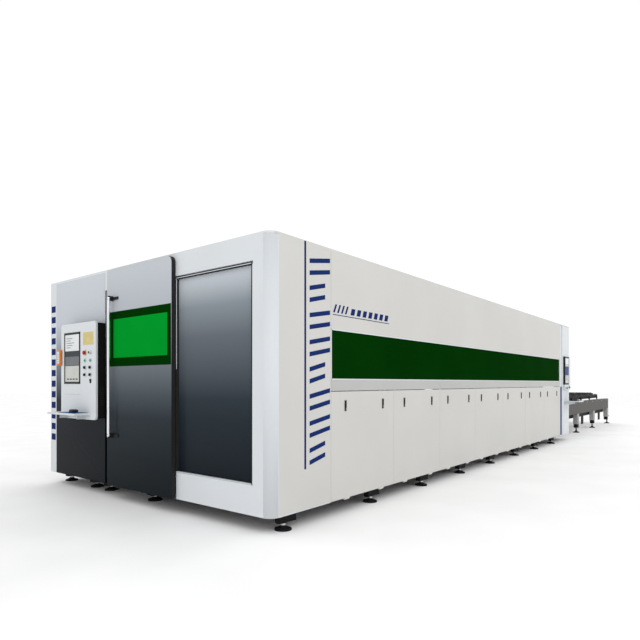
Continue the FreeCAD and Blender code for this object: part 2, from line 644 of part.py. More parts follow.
def gantry():
    """A tube beam on two saddles, its bearing blocks on the guide rails, a drive at each end."""
    beam_start = "gantry_x - gantry_width / 2"
    pieces = [tube_y(beam_start, "gantry_inset", BEAM_Z, "gantry_width",
                     "enclosure_width - 2 * gantry_inset", "gantry_height", "bed_wall")]
    drives = []
    axle_y = "rack_y + rack_width / 2 + pinion_radius + running_gap"
    motor_x = "gantry_x - gantry_width / 2 - motor_size"
    for mirrored in (False, True):
        def across(y, width, flip=mirrored):
            return far(y, width) if flip else y
        pieces.append(box("gantry_x - saddle_length / 2", across("gantry_inset", "saddle_width"),
                          SADDLE_Z, "saddle_length", "saddle_width", "saddle_height"))
        for at in ("gantry_x - saddle_length / 2", "gantry_x + saddle_length / 2 - block_length"):
            pieces.append(box(at, across("rail_y - rail_width", "rail_width * 2"), BLOCK_Z,
                              "block_length", "rail_width * 2", "block_height"))
        drives.append(box(motor_x, across(f"{axle_y} - motor_size / 2", "motor_size"), BEAM_Z,
                          "motor_size", "motor_size", "motor_size"))
        drives.append(rod(f"{motor_x} + motor_size / 2", across(axle_y, "0"),
                          f"{BEAM_Z} + motor_size", "motor_size * 0.45", "motor_size * 2"))
        drives.append(fuse(
            rod(f"{motor_x} + motor_size / 2", across(axle_y, "0"), "bed_beam_top + running_gap",
                "pinion_radius", "rack_height"),
            rod(f"{motor_x} + motor_size / 2", across(axle_y, "0"), "bed_beam_top + rack_height",
                "pinion_shaft", f"{BEAM_Z} - bed_beam_top - rack_height")))
    for z in (f"{BEAM_Z} + 30", f"{BEAM_Z} + gantry_height - 30 - beam_rail"):
        pieces.append(box("gantry_x + gantry_width / 2", "gantry_inset", z, "beam_rail",
                          "enclosure_width - 2 * gantry_inset", "beam_rail"))
    node("gantry_beam", *pieces)
    node("x_drives", *drives)


def cutting_axis():
    """The cross carriage, and the head that it lowers to the sheet."""
    plate_x = "gantry_x + gantry_width / 2 + beam_rail + running_gap"
    node("y_carriage",
         box(plate_x, "carriage_y - carriage_width / 2", f"{BEAM_Z} - 10", "carriage_depth",
             "carriage_width", "carriage_height"),
         box(plate_x, "carriage_y - motor_size / 2", f"{BEAM_Z} - 10 + carriage_height",
             "motor_size", "motor_size", "motor_size * 2"))
    head_x = f"{plate_x} + carriage_depth + running_gap"
    column = box(head_x, "carriage_y - head_width / 2", "nozzle_tip + nozzle_length", "head_width",
                 "head_width", "head_height - motor_size * 2")
    tip = cone(f"{head_x} + head_width / 2", "carriage_y", "nozzle_tip", "4", "24",
               "nozzle_length")
    node("cutting_head", column, tip)


# ---- pallets and exchange table ---------------------------------------------------------------

def pallet(label, start, track_top):
    """A ladder frame on flanged wheels, with toothed slats standing across it."""
    low = f"{track_top} + pallet_rail_lift"
    width = f"enclosure_width - 2 * (pallet_inset + pallet_rail_width)"
    pieces = []
    for mirrored in (False, True):
        def across(y, span, flip=mirrored):
            return far(y, span) if flip else y
        pieces.append(tube_x(start, across("pallet_inset", "pallet_rail_width"), low,
                             "pallet_length", "pallet_rail_width", "pallet_rail_height",
                             "pallet_wall"))
        for step in range(PALLET_WHEELS):
            at = (f"{start} + wheel_inset + {step} * (pallet_length - 2 * wheel_inset)"
                  f" / {PALLET_WHEELS - 1}")
            hub = f"{track_top} + running_gap + wheel_radius"
            outer = across("pallet_inset - wheel_gap - wheel_width", "wheel_width")
            pieces.append(fuse(rod(at, outer, hub, "wheel_radius", "wheel_width", AXLE_Y),
                               rod(at, across("pallet_inset - wheel_gap", "wheel_gap"), hub,
                                   "wheel_axle", "wheel_gap", AXLE_Y)))
    for step in range(PALLET_WHEELS):
        at = f"{start} + {step} * (pallet_length - pallet_rail_width) / {PALLET_WHEELS - 1}"
        pieces.append(box(at, "pallet_inset + pallet_rail_width", low, "pallet_rail_width", width,
                          "slat_seat"))
    node(f"{label}_pallet", *pieces)
    slats = doc.addObject("Part::Feature", f"{label}_slats")
    slats.Shape = slat_row()
    slats.Label = f"{label}_slats"
    put(slats, start, "pallet_inset + pallet_rail_width", f"{low} + slat_seat")
    nodes.append(slats)


def slat_row():
    """Every slat of a pallet: an upright strip whose top edge is a row of teeth."""
    length = value_of("enclosure_width - 2 * (pallet_inset + pallet_rail_width)")
    rise = value_of("slat_rise - slat_seat")
    root = rise - value_of("tooth_height")
    pitch, tooth = value_of("slat_pitch"), value_of("slat_tooth")
    teeth = int(length / tooth)
    margin = (length - teeth * tooth) / 2
    outline = [Vector(0, 0, 0), Vector(0, 0, root)]
    for step in range(teeth):
        outline.append(Vector(0, margin + step * tooth, root))
        outline.append(Vector(0, margin + (step + 0.5) * tooth, rise))
    outline += [Vector(0, length - margin, root), Vector(0, length, root), Vector(0, length, 0)]
    closed = [p for i, p in enumerate(outline) if i == 0 or (p - outline[i - 1]).Length > 1e-6]
    face = Part.Face(Part.makePolygon(closed + [closed[0]]))
    slat = face.extrude(Vector(value_of("slat_thickness"), 0, 0))
    count = int((value_of("pallet_length") - 2 * pitch / 2) / pitch) + 1
    first = (value_of("pallet_length") - (count - 1) * pitch) / 2
    return Part.makeCompound([slat.translated(Vector(first + i * pitch, 0, 0))
                              for i in range(count)])


def pallet_tracks():
    """Upper and lower running tracks: inside the bed, and on along the exchange table."""
    pieces = []
    joint = "table_start - track_joint"
    runs = (("bed_start + track_start", joint, INNER_SIDE),
            (joint, "table_end - track_end", "table_beam_inset + table_beam_width"))
    for top in ("upper_track_top", "lower_track_top"):
        for start, stop, side in runs:
            width = f"pallet_inset - 2 - ({side})"
            for y in both_sides(side, width):
                pieces.append(box(start, y, f"{top} - track_height_pallet", f"{stop} - ({start})",
                                  width, "track_height_pallet"))
    node("pallet_tracks", *pieces)


def exchange_table():
    """Two deep side beams on legs, tied under the lower track, with a chain shaft at the end."""
    side = "table_beam_inset"
    inner = f"{side} + table_beam_width"
    span = f"enclosure_width - 2 * ({side})"
    pieces = []
    for y in both_sides(side, "table_beam_width"):
        pieces.append(tube_x("table_start", y, "table_beam_bottom", "table_end - table_start",
                             "table_beam_width", "table_beam_top - table_beam_bottom",
                             "table_wall"))
        pieces += [box(f"{x} - table_leg_width / 2", y, "table_beam_bottom - table_leg_height",
                       "table_leg_width", "table_beam_width", "table_leg_height")
                   for x in TABLE_LEGS]
        pieces.append(box("table_end - table_leg_width", y,
                          "table_beam_bottom - table_leg_height", "table_leg_width",
                          "table_beam_width", "table_leg_height"))
        pieces.append(box("table_end", y, "table_beam_bottom - table_leg_height",
                          "end_foot_reach", "table_beam_width", "bed_wall * 2"))
    crossings = [f"{x} - cross_width / 2" for x in TABLE_LEGS]
    crossings += ["shaft_x - cross_width / 2"]
    for x in crossings:
        pieces.append(tube_y(x, inner, "table_beam_bottom - cross_height", "cross_width",
                             f"enclosure_width - 2 * ({inner})", "cross_height", "table_wall"))
    node("table_frame", *pieces)
    shaft_length = f"{span} - 2 * table_beam_width - 2 * running_gap"
    shaft = rod("shaft_x", f"{inner} + running_gap", "shaft_z", "shaft_radius", shaft_length,
                AXLE_Y)
    inset = "pallet_inset + sprocket_inset"
    sprockets = [rod("shaft_x", y, "shaft_z", "sprocket_radius", "sprocket_width", AXLE_Y)
                 for y in both_sides(inset, "sprocket_width")]
    node("drive_shaft", fuse(shaft, *sprockets))
    motor_top = "shaft_z - shaft_radius - table_motor_gap"
    node("drive_motor", fuse(
        box("shaft_x - table_motor_length / 2", "carriage_y - table_motor_width / 2",
            "table_beam_bottom", "table_motor_length", "table_motor_width",
            f"{motor_top} - table_beam_bottom"),
        rod("shaft_x", "carriage_y + table_motor_width / 2",
            f"(table_beam_bottom + {motor_top}) / 2", "table_motor_radius", "table_motor_reach",
            AXLE_Y)))


def build():
    floor_feet()
    bed_frame()
    enclosure_frame()
    corner_columns()
    front_panels()
    near_side_panels()
    far_side_panels()
    roof_and_rear()
    access_doors()
    sliding_door()
    front_console()
    rear_console()
    guide_rails()
    gantry()
    cutting_axis()
    pallet("upper", "upper_start", "upper_track_top")
    pallet("lower", "lower_start", "lower_track_top")
    pallet_tracks()
    exchange_table()


def check_and_write():
    """Refuse to write anything unless every object computed and every node is a valid shape."""
    doc.recompute()
    faults = [f"{piece.Name} ({piece.Label}) is {piece.State}" for piece in doc.Objects
              if {"Invalid", "Error"} & set(piece.State)]
    for piece in nodes:
        shape = piece.Shape
        if shape.isNull() or not shape.isValid() or not shape.Solids:
            faults.append(f"{piece.Label} has no valid solid")
    if faults:
        raise RuntimeError("\n".join(faults))
    os.makedirs("parts", exist_ok=True)
    for piece in nodes:
        piece.Shape.exportStep(f"parts/{piece.Label}.step")
    print(f"{len(nodes)} nodes, {sum(len(piece.Shape.Solids) for piece in nodes)} solids")
    whole = Part.makeCompound([piece.Shape for piece in nodes]).BoundBox
    print(f"box {whole.XMin:.1f} {whole.YMin:.1f} {whole.ZMin:.1f} to "
          f"{whole.XMax:.1f} {whole.YMax:.1f} {whole.ZMax:.1f} mm")


build()
check_and_write()
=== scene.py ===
# %% [markdown]
# # A fibre laser cutting machine, finished in Blender
# The machine's pieces arrive from CAD as a fixed frame: each one is already at its real size and in its
# place. This lesson adds what CAD leaves plain: paint, glass, steel and plastic, and the small fittings that
# a maker bolts on last. Everything is in metres. The operator's end is at -X, the exchange table at +X, and
# the service doors are on the near side, at -Y.

# %% Load the frame
import math

import bmesh
import bpy
from mathutils import Matrix, Vector


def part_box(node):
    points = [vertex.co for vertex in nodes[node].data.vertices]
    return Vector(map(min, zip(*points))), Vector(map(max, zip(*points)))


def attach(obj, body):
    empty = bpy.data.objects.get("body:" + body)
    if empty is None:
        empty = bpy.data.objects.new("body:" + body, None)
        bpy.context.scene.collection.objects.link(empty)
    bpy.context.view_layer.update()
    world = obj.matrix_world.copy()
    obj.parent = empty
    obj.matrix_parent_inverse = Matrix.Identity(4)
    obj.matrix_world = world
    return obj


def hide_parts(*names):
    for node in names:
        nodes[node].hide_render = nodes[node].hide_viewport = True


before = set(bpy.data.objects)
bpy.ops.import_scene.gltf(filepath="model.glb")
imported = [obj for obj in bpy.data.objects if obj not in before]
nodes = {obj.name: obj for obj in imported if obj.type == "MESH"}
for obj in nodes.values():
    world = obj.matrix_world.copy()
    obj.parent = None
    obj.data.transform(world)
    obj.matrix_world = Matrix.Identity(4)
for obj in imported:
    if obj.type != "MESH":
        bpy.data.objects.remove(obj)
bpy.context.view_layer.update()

print("loaded", len(nodes), "nodes")

# %% [markdown]
# ## Where things are
# The front plane, both long sides, the rear, the roof and the skin's lower edge are read from the frame. Most
# fittings are placed from them, and the rest from the box of the piece that they sit on.

# %% Find the main planes
front_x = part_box("front_left_panel")[0].x
side_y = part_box("near_side_panels")[0].y
far_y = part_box("far_side_panels")[1].y
rear_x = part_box("corner_columns")[1].x
roof_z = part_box("roof_panels")[1].z
skin_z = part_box("near_side_panels")[0].z
leaf_low, leaf_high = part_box("door_leaf")
leaf_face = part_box("door_window")[0].x
fascia_low, fascia_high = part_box("console_fascia")
doors = [f"access_door_{number}" for number in range(1, 8)]
latches = [f"access_latch_{number}" for number in range(1, 8)]
selectors = [f"selector_{number}" for number in range(1, 5)]
print("front plane", round(front_x, 3), "side plane", round(side_y, 3))

# %% [markdown]
# ## Materials from nodes
# A finish is more than a colour. Powder coat has a fine orange peel, ground steel has drawn grain, and all
# of them vary a little in colour and gloss. One helper starts a material, and a second lays noise on it, so
# that each finish below is a few lines. All patterns read Object coordinates, so they stay on the piece.

# %% Helpers for materials
def start_material(name, colour, roughness, metallic=0.0, index=1.45):
    """A new material and its shader. A low refractive index keeps dark paint dark at a slant."""
    made = bpy.data.materials.new(name)
    made.use_nodes = True
    shader = made.node_tree.nodes["Principled BSDF"]
    shader.inputs["Base Color"].default_value = (*colour, 1.0)
    shader.inputs["Roughness"].default_value = roughness
    shader.inputs["Metallic"].default_value = metallic
    shader.inputs["IOR"].default_value = index
    return made, shader


def pattern(tree, scale, detail=3.0, stretch=(1, 1, 1)):
    """A noise read from Object coordinates, stretched along an axis where a grain runs."""
    place = tree.nodes.new("ShaderNodeTexCoord")
    turn = tree.nodes.new("ShaderNodeMapping")
    turn.inputs["Scale"].default_value = stretch
    noise = tree.nodes.new("ShaderNodeTexNoise")
    noise.inputs["Scale"].default_value = scale
    noise.inputs["Detail"].default_value = detail
    tree.links.new(place.outputs["Object"], turn.inputs["Vector"])
    tree.links.new(turn.outputs["Vector"], noise.inputs["Vector"])
    return noise


def vary_colour(made, shader, low, high, noise):
    """Let the noise move the base colour between two near tones."""
    tree = made.node_tree
    ramp = tree.nodes.new("ShaderNodeValToRGB")
    ramp.color_ramp.elements[0].position = 0.35
    ramp.color_ramp.elements[0].color = (*low, 1.0)
    ramp.color_ramp.elements[1].position = 0.65
    ramp.color_ramp.elements[1].color = (*high, 1.0)
    tree.links.new(noise.outputs["Fac"], ramp.inputs["Fac"])
    tree.links.new(ramp.outputs["Color"], shader.inputs["Base Color"])
    return ramp


def vary_gloss(made, shader, low, high, noise):
    """Let the noise move the roughness between two values."""
    tree = made.node_tree
    spread = tree.nodes.new("ShaderNodeMapRange")
    spread.inputs["To Min"].default_value = low
    spread.inputs["To Max"].default_value = high
    tree.links.new(noise.outputs["Fac"], spread.inputs["Value"])
    tree.links.new(spread.outputs["Result"], shader.inputs["Roughness"])


def roughen(made, shader, noise, strength, distance):
    """Turn a noise into bump, for orange peel, grain or a moulded texture."""
    tree = made.node_tree
    bump = tree.nodes.new("ShaderNodeBump")
    bump.inputs["Strength"].default_value = strength
    bump.inputs["Distance"].default_value = distance
    tree.links.new(noise.outputs["Fac"], bump.inputs["Height"])
    tree.links.new(bump.outputs["Normal"], shader.inputs["Normal"])


def tone(colour, factor):
    """A colour made lighter or darker."""
    return tuple(min(1.0, channel * factor) for channel in colour)


# %% [markdown]
# ## Paint
# Sheet-metal covers are powder coated. The coat is satin, with a peel a few millimetres across, and large
# panels drift in tone by a percent or two.

# %% Powder coat
def powder_coat(name, colour, roughness=0.42, peel=0.06, index=1.3):
    """Satin paint with a fine peel and a slow drift in tone and gloss."""
    made, shader = start_material(name, colour, roughness, index=index)
    broad = pattern(made.node_tree, 1.3, 2.0)
    vary_colour(made, shader, tone(colour, 0.975), tone(colour, 1.015), broad)
    fine = pattern(made.node_tree, 260.0, 2.0)
    roughen(made, shader, fine, peel, 0.002)
    vary_gloss(made, shader, roughness - 0.05, roughness + 0.06, broad)
    return made


white_coat = powder_coat("white_coat", (0.635, 0.665, 0.69))
# The long-side coat is the same white paint made darker: painted shade for faces turned to the long sides.
side_shade_coat = powder_coat("side_shade_coat", (0.56, 0.555, 0.535))
sill_coat = powder_coat("sill_coat", (0.45, 0.45, 0.44))
black_coat = powder_coat("black_coat", (0.012, 0.012, 0.013), 0.5, 0.15, 1.12)
# The frame coat is near black: partly the frame's own dark paint, partly painted shade in the band under the
# skin.
frame_shade_coat = powder_coat("frame_shade_coat", (0.016, 0.017, 0.018), 0.5, 0.2, 1.12)
table_coat = powder_coat("table_coat", (0.098, 0.095, 0.090), 0.45, 0.15, 1.1)
post_coat = powder_coat("post_coat", (0.34, 0.34, 0.335), 0.45, 0.1, 1.15)
navy_coat = powder_coat("navy_coat", (0.009, 0.026, 0.125), 0.45, 0.05, 1.06)
carriage_coat = powder_coat("carriage_coat", (0.03, 0.06, 0.16), 0.45, 0.1)
print("powder coats ready")

# %% [markdown]
# ## Gloss lacquer
# The panels at the front are smoother, and their colour fades from pale grey at the top to near black. The
# pale top is a painted reflection of the bright room in the dark lacquer. A colour ramp on the height above
# the floor gives each of the three panels its own fade.

# %% Gloss panels that fade from pale to dark
def reflection_painted_gloss(name, stops):
    """A lacquered panel whose colour changes with height, as a painted reflection. stops are (height in m,
    colour).
    """
    made, shader = start_material(name, stops[0][1], 0.2, index=1.12)
    tree = made.node_tree
    place = tree.nodes.new("ShaderNodeTexCoord")
    split = tree.nodes.new("ShaderNodeSeparateXYZ")
    height = tree.nodes.new("ShaderNodeMapRange")
    height.inputs["From Max"].default_value = roof_z
    shade = tree.nodes.new("ShaderNodeValToRGB")
    ramp = shade.color_ramp
    ramp.elements[0].position = stops[0][0] / roof_z
    ramp.elements[0].color = (*stops[0][1], 1.0)
    ramp.elements[1].position = stops[-1][0] / roof_z
    ramp.elements[1].color = (*stops[-1][1], 1.0)
    for level, colour in stops[1:-1]:
        ramp.elements.new(level / roof_z).color = (*colour, 1.0)
    tree.links.new(place.outputs["Object"], split.inputs["Vector"])
    tree.links.new(split.outputs["Z"], height.inputs["Value"])
    tree.links.new(height.outputs["Result"], shade.inputs["Fac"])
    tree.links.new(shade.outputs["Color"], shader.inputs["Base Color"])
    roughen(made, shader, pattern(tree, 90.0, 2.0), 0.03, 0.002)
    vary_gloss(made, shader, 0.18, 0.30, pattern(tree, 2.0, 3.0))
    return made


# Each ramp paints a reflection: pale at the top, where the lacquer mirrors the bright room, near black below.
left_gloss = reflection_painted_gloss("left_gloss", [
    (0.15, (0.004, 0.006, 0.009)), (0.60, (0.006, 0.009, 0.012)), (1.00, (0.013, 0.017, 0.022)),
    (1.45, (0.189, 0.211, 0.233)), (1.90, (0.522, 0.555, 0.594)), (2.35, (0.555, 0.588, 0.627))])
leaf_gloss = reflection_painted_gloss("leaf_gloss", [
    (0.15, (0.006, 0.010, 0.013)), (0.47, (0.010, 0.015, 0.019)), (0.86, (0.022, 0.030, 0.037)),
    (1.08, (0.060, 0.075, 0.088)), (1.36, (0.135, 0.155, 0.175)), (1.93, (0.42, 0.45, 0.485)),
    (2.30, (0.50, 0.53, 0.565))])
recess_gloss = reflection_painted_gloss("recess_gloss", [
    (0.40, (0.009, 0.013, 0.018)), (0.88, (0.018, 0.026, 0.034)), (1.06, (0.027, 0.037, 0.047)),
    (1.33, (0.073, 0.088, 0.104)), (1.61, (0.120, 0.138, 0.158)), (1.88, (0.230, 0.264, 0.292)),
    (2.15, (0.538, 0.576, 0.621))])
print("gloss panels ready")


# %% [markdown]
# ## Steel and aluminium
# Machined ways and rails are bright with a grain along their length. Slats are hot-rolled strip: dark mill
# scale with brown scorch marks in blotches.

# %% Metals
def ground_metal(name, colour, roughness, stretch, grain=120.0):
    """A bright metal with a drawn grain, long where the stretch is small."""
    made, shader = start_material(name, colour, roughness, 1.0)
    lines = pattern(made.node_tree, grain, 4.0, stretch)
    vary_colour(made, shader, tone(colour, 0.86), tone(colour, 1.06), lines)
    roughen(made, shader, lines, 0.08, 0.001)
    vary_gloss(made, shader, roughness - 0.07, roughness + 0.1, lines)
    return made


way_steel = ground_metal("way_steel", (0.55, 0.56, 0.58), 0.28, (0.03, 1, 1))
shaft_steel = ground_metal("shaft_steel", (0.48, 0.49, 0.5), 0.3, (1, 0.03, 1))
zinc_steel = ground_metal("zinc_steel", (0.62, 0.63, 0.64), 0.33, (1, 1, 1), 60.0)
bar_metal = ground_metal("bar_metal", (0.83, 0.84, 0.86), 0.22, (1, 1, 0.02))
beam_alloy = ground_metal("beam_alloy", (0.60, 0.61, 0.63), 0.36, (1, 0.03, 1))


def scorched_strip():
    """Hot-rolled slats: blue-black scale, with brown heat marks in blotches."""
    made, shader = start_material("scorched_strip", (0.09, 0.085, 0.08), 0.55, 0.7)
    blotch = pattern(made.node_tree, 7.0, 6.0)
    ramp = vary_colour(made, shader, (0.045, 0.045, 0.05), (0.15, 0.105, 0.075), blotch)
    middle = ramp.color_ramp.elements.new(0.52)
    middle.color = (0.10, 0.092, 0.085, 1.0)
    roughen(made, shader, pattern(made.node_tree, 120.0, 5.0), 0.3, 0.002)
    return made


slat_metal = scorched_strip()
print("metals ready")

# %% [markdown]
# ## Plastic and windows
# The windows are laser-safe acrylic, so dense that they look solid green. Moulded knobs have a fine spark
# texture.

# %% Plastics and windows
def moulded(name, colour, roughness=0.42, texture=0.12):
    """Plastic with the fine texture of a spark-cut mould."""
    made, shader = start_material(name, colour, roughness, index=1.25)
    spark = pattern(made.node_tree, 420.0, 2.0)
    vary_colour(made, shader, tone(colour, 0.92), tone(colour, 1.05), pattern(made.node_tree, 18.0))
    roughen(made, shader, spark, texture, 0.0006)
    return made


def tinted_sheet(name, colour, roughness):
    """Laser-safe acrylic: dense green with a faint drift of tone and a smooth face."""
    made, shader = start_material(name, colour, roughness, index=1.008)
    vary_colour(made, shader, tone(colour, 0.93), tone(colour, 1.06), pattern(made.node_tree, 1.7, 1.0))
    roughen(made, shader, pattern(made.node_tree, 3.0, 1.0), 0.015, 0.002)
    return made


dark_window = tinted_sheet("dark_window", (0.0012, 0.028, 0.0015), 0.28)
bright_window = tinted_sheet("bright_window", (0.001, 0.27, 0.022), 0.25)
black_plastic = moulded("black_plastic", (0.015, 0.015, 0.017))
grey_plastic = moulded("grey_plastic", (0.22, 0.23, 0.24))
red_plastic = moulded("red_plastic", (0.30, 0.010, 0.025), 0.28, 0.04)
green_plastic = moulded("green_plastic", (0.02, 0.36, 0.17), 0.25, 0.03)
orange_plastic = moulded("orange_plastic", (0.68, 0.19, 0.035), 0.4, 0.1)
yellow_plate = moulded("yellow_plate", (0.60, 0.50, 0.20), 0.35, 0.05)
blue_mat = moulded("blue_mat", (0.01, 0.075, 0.22), 0.75, 0.3)
rubber = moulded("rubber", (0.02, 0.02, 0.021), 0.8, 0.4)
print("plastics ready")

# %% [markdown]
# ## Give every CAD piece its finish
# A CAD piece whose shape is already right keeps its mesh and only changes material. Assigning to the mesh's
# material list is enough. Pieces that need softer edges or more detail are replaced further down.

# %% Paint the CAD pieces
def paint(material, *names):
    """Give CAD nodes one material in place of what they came with."""
    for name in names:
        mesh = nodes[name].data
        mesh.materials.clear()
        mesh.materials.append(material)


paint(black_coat, "foot_brackets", "console_housing", "drive_motor", "x_drives", "upper_pallet",
      "lower_pallet", "foot_pads")
# The frames under the skin are near black, which also paints the shade under the skin.
paint(frame_shade_coat, "bed_frame", "enclosure_frame")
paint(white_coat, "front_panels", "console_fascia", "keyboard_shelf", "rear_shelf", "roof_panels")
# The long sides, their doors and the rear take the darker coat: painted shade on the white paint.
paint(side_shade_coat, "near_side_panels", "far_side_panels", "rear_header", "corner_columns", *doors)
paint(left_gloss, "front_left_panel")
paint(recess_gloss, "recess_panel")
paint(leaf_gloss, "door_leaf")
paint(dark_window, "near_window", "door_window")
paint(bar_metal, "door_handle")
paint(way_steel, "x_guide_rails", "x_racks", "pallet_tracks", "door_track")
paint(beam_alloy, "gantry_beam", "cutting_head")
paint(carriage_coat, "y_carriage")
paint(slat_metal, "upper_slats", "lower_slats")
paint(table_coat, "table_frame")
paint(shaft_steel, "drive_shaft")
paint(black_plastic, "console_screen", "rear_console", "rear_button", "key_switch", *selectors, *latches)
paint(red_plastic, "emergency_stop")
paint(green_plastic, "start_button", "reset_button")
print("painted", len(nodes), "CAD pieces")

# %% [markdown]
# ## Tools for making pieces
# Most fittings start as a block with softened edges or as a turned profile. A real edge is never perfectly
# sharp, and the small bevel is what catches the light.

# %% Blocks, discs and rods
def plain_block(work, low, high):
    """The eight corners of a sharp block between two points."""
    low, high = Vector(low), Vector(high)
    made = bmesh.ops.create_cube(work, size=1.0)["verts"]
    bmesh.ops.scale(work, vec=high - low, verts=made)
    bmesh.ops.translate(work, vec=(low + high) / 2, verts=made)
    return made


def edges_on(verts, **planes):
    """The edges at these vertices that lie on every plane named, such as x=0.5."""
    edges = {edge for vert in verts if vert.is_valid for edge in vert.link_edges}
    return [edge for edge in edges
            if all(abs(getattr(vert.co, axis) - level) < 1e-6
                   for vert in edge.verts for axis, level in planes.items())]


def soften(work, edges, width, segments):
    """Bevel some edges, and say which faces that made."""
    return bmesh.ops.bevel(work, geom=edges, offset=width, segments=segments, profile=0.5,
                           affect="EDGES", material=-1)["faces"]


def block(work, low, high, soft=0.002, tint=0, segments=2):
    """A rectangular block between two corners, its edges softened by a bevel."""
    before = set(work.faces)
    made = plain_block(work, low, high)
    soft = min(soft, min(Vector(high) - Vector(low)) * 0.45)
    if soft > 0:
        soften(work, edges_on(made), soft, segments)
    faces = [face for face in work.faces if face not in before]
    for face in faces:
        face.material_index = tint
    return faces


TO_X = Matrix.Rotation(math.radians(90), 4, "Y")
TO_MINUS_X = Matrix.Rotation(math.radians(-90), 4, "Y")
TO_MINUS_Y = Matrix.Rotation(math.radians(90), 4, "X")
TO_Y = Matrix.Rotation(math.radians(-90), 4, "X")
UPRIGHT = Matrix.Identity(4)


def turned(work, outline, centre, turn=UPRIGHT, steps=32, tint=0):
    """Spin an outline of (radius, height) points into a closed turned shape, like a lathe."""
    points = [work.verts.new((radius, 0, height)) for radius, height in outline]
    lines = [work.edges.new(pair) for pair in zip(points, points[1:])]
    before = set(work.faces)
    bmesh.ops.spin(work, geom=points + lines, cent=(0, 0, 0), axis=(0, 0, 1),
                   angle=math.tau, steps=steps, use_merge=True)
    faces = [face for face in work.faces if face not in before]
    verts = list({vert for face in faces for vert in face.verts})
    bmesh.ops.remove_doubles(work, verts=verts, dist=1e-6)
    faces = [face for face in faces if face.is_valid]
    verts = list({vert for face in faces for vert in face.verts})
    bmesh.ops.transform(work, matrix=Matrix.Translation(Vector(centre)) @ turn, verts=verts)
    for face in faces:
        face.material_index = tint
        face.smooth = True


def across(first, last, flip):
    """Two distances in from the skin as low and high Y: flip is 1 for the near side, -1 for the far."""
    return (side_y + first, side_y + last) if flip > 0 else (far_y - last, far_y - first)


def disc_outline(radius, height, soft=0.001, base=0.0):
    """The outline of a plain button: flat under, softened at the top rim."""
    return [(0.0, base), (radius, base), (radius, base + height - soft),
            (radius - soft * 0.3, base + height - soft * 0.3), (radius - soft, base + height),
            (0.0, base + height)]


def finish(work, name, materials, body):
    """Close the workpiece, point its faces outwards, and hand it to a body of the machine."""
    bmesh.ops.recalc_face_normals(work, faces=work.faces)
    mesh = bpy.data.meshes.new(name)
    work.to_mesh(mesh)
    work.free()
    for material in materials:
        mesh.materials.append(material)
    made = bpy.data.objects.new(name, mesh)
    bpy.context.scene.collection.objects.link(made)
    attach(made, body)
    return made


# %% [markdown]
# ## Feet
# The machine stands on round levelling feet. Each is a pressed cup with a hub, a stem and a jam nut. They are
# turned, so one outline and a spin makes each of them. A block under the skin holds each stem.

# %% Levelling feet
def loose_parts(name):
    """The low and high corners of a CAD node's separate solids, read from its own mesh."""
    copy = bmesh.new()
    copy.from_mesh(nodes[name].data)
    bmesh.ops.remove_doubles(copy, verts=copy.verts, dist=1e-6)
    seen, parts = set(), []
    for start in copy.verts:
        if start in seen:
            continue
        stack, members = [start], []
        seen.add(start)
        while stack:
            vert = stack.pop()
            members.append(vert.co.copy())
            for edge in vert.link_edges:
                other = edge.other_vert(vert)
                if other not in seen:
                    seen.add(other)
                    stack.append(other)
        parts.append((Vector(map(min, *members)), Vector(map(max, *members))))
    copy.free()
    return parts


def foot_outline(radius, stem, top):
    """A pressed cup, a hub and a stem that ends at the given height."""
    return [(0.0, 0.0), (radius, 0.0), (radius, 0.008), (radius * 0.97, 0.014), (radius * 0.80, 0.018),
            (radius * 0.52, 0.027), (0.026, 0.031), (0.022, 0.044), (stem, 0.046), (stem, top), (0.0, top)]


pad_radius, stem_radius = 0.072, 0.016
nut_radius, nut_height = 0.027, 0.014
short_foot, short_drop, long_drop = 0.1, 0.038, 0.10
feet = bmesh.new()
pads = loose_parts("foot_pads")
for low, high in pads:
    centre = (low + high) / 2
    turned(feet, foot_outline(pad_radius, stem_radius, high.z), (centre.x, centre.y, 0), steps=28)
    nut_z = high.z - (short_drop if high.z < short_foot else long_drop)
    nut = bmesh.ops.create_cone(feet, cap_ends=True, segments=6, radius1=nut_radius, radius2=nut_radius,
                                depth=nut_height)["verts"]
    bmesh.ops.translate(feet, vec=(centre.x, centre.y, nut_z), verts=nut)
    for face in {face for vert in nut for face in vert.link_faces}:
        face.material_index = 1
shoe_drop = 0.030
shoes = bmesh.new()
for low, high in loose_parts("foot_brackets"):
    block(shoes, (low.x, low.y, low.z - shoe_drop), high, soft=0.004)
shoes_piece = finish(shoes, "foot_shoes", [black_coat], "machine")
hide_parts("foot_brackets")
feet_piece = finish(feet, "levelling_feet", [black_coat, zinc_steel], "machine")
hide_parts("foot_pads")
print("feet:", len(pads))

# %% [markdown]
# ## The enclosure's corners
# The near front corner is rolled to a large radius and the far one to a small one. A rolled column is a block
# whose one long edge gets a wide bevel of many segments, which stays smooth where the light runs across it.
# Each rear pillar is two plates, and on the near side a channel stands in front of it, navy below and white
# above.

# %% Rolled corner columns and rear pillars
def rolled_column(work, low, high, corner_y, radius):
    """A column with one rounded vertical edge, on the front plane and at corner_y."""
    made = plain_block(work, low, high)
    for face in soften(work, edges_on(made, x=low.x, y=corner_y), radius, roll_segments):
        face.smooth = True


def rear_plate(flip, span_x, span_y, span_z, tint=0):
    """An upright plate by a rear corner, with Y counted inwards from that side's skin."""
    low_y, high_y = across(*span_y, flip)
    block(columns, (span_x[0], low_y, span_z[0]), (span_x[1], high_y, span_z[1]), soft=0.003, tint=tint)


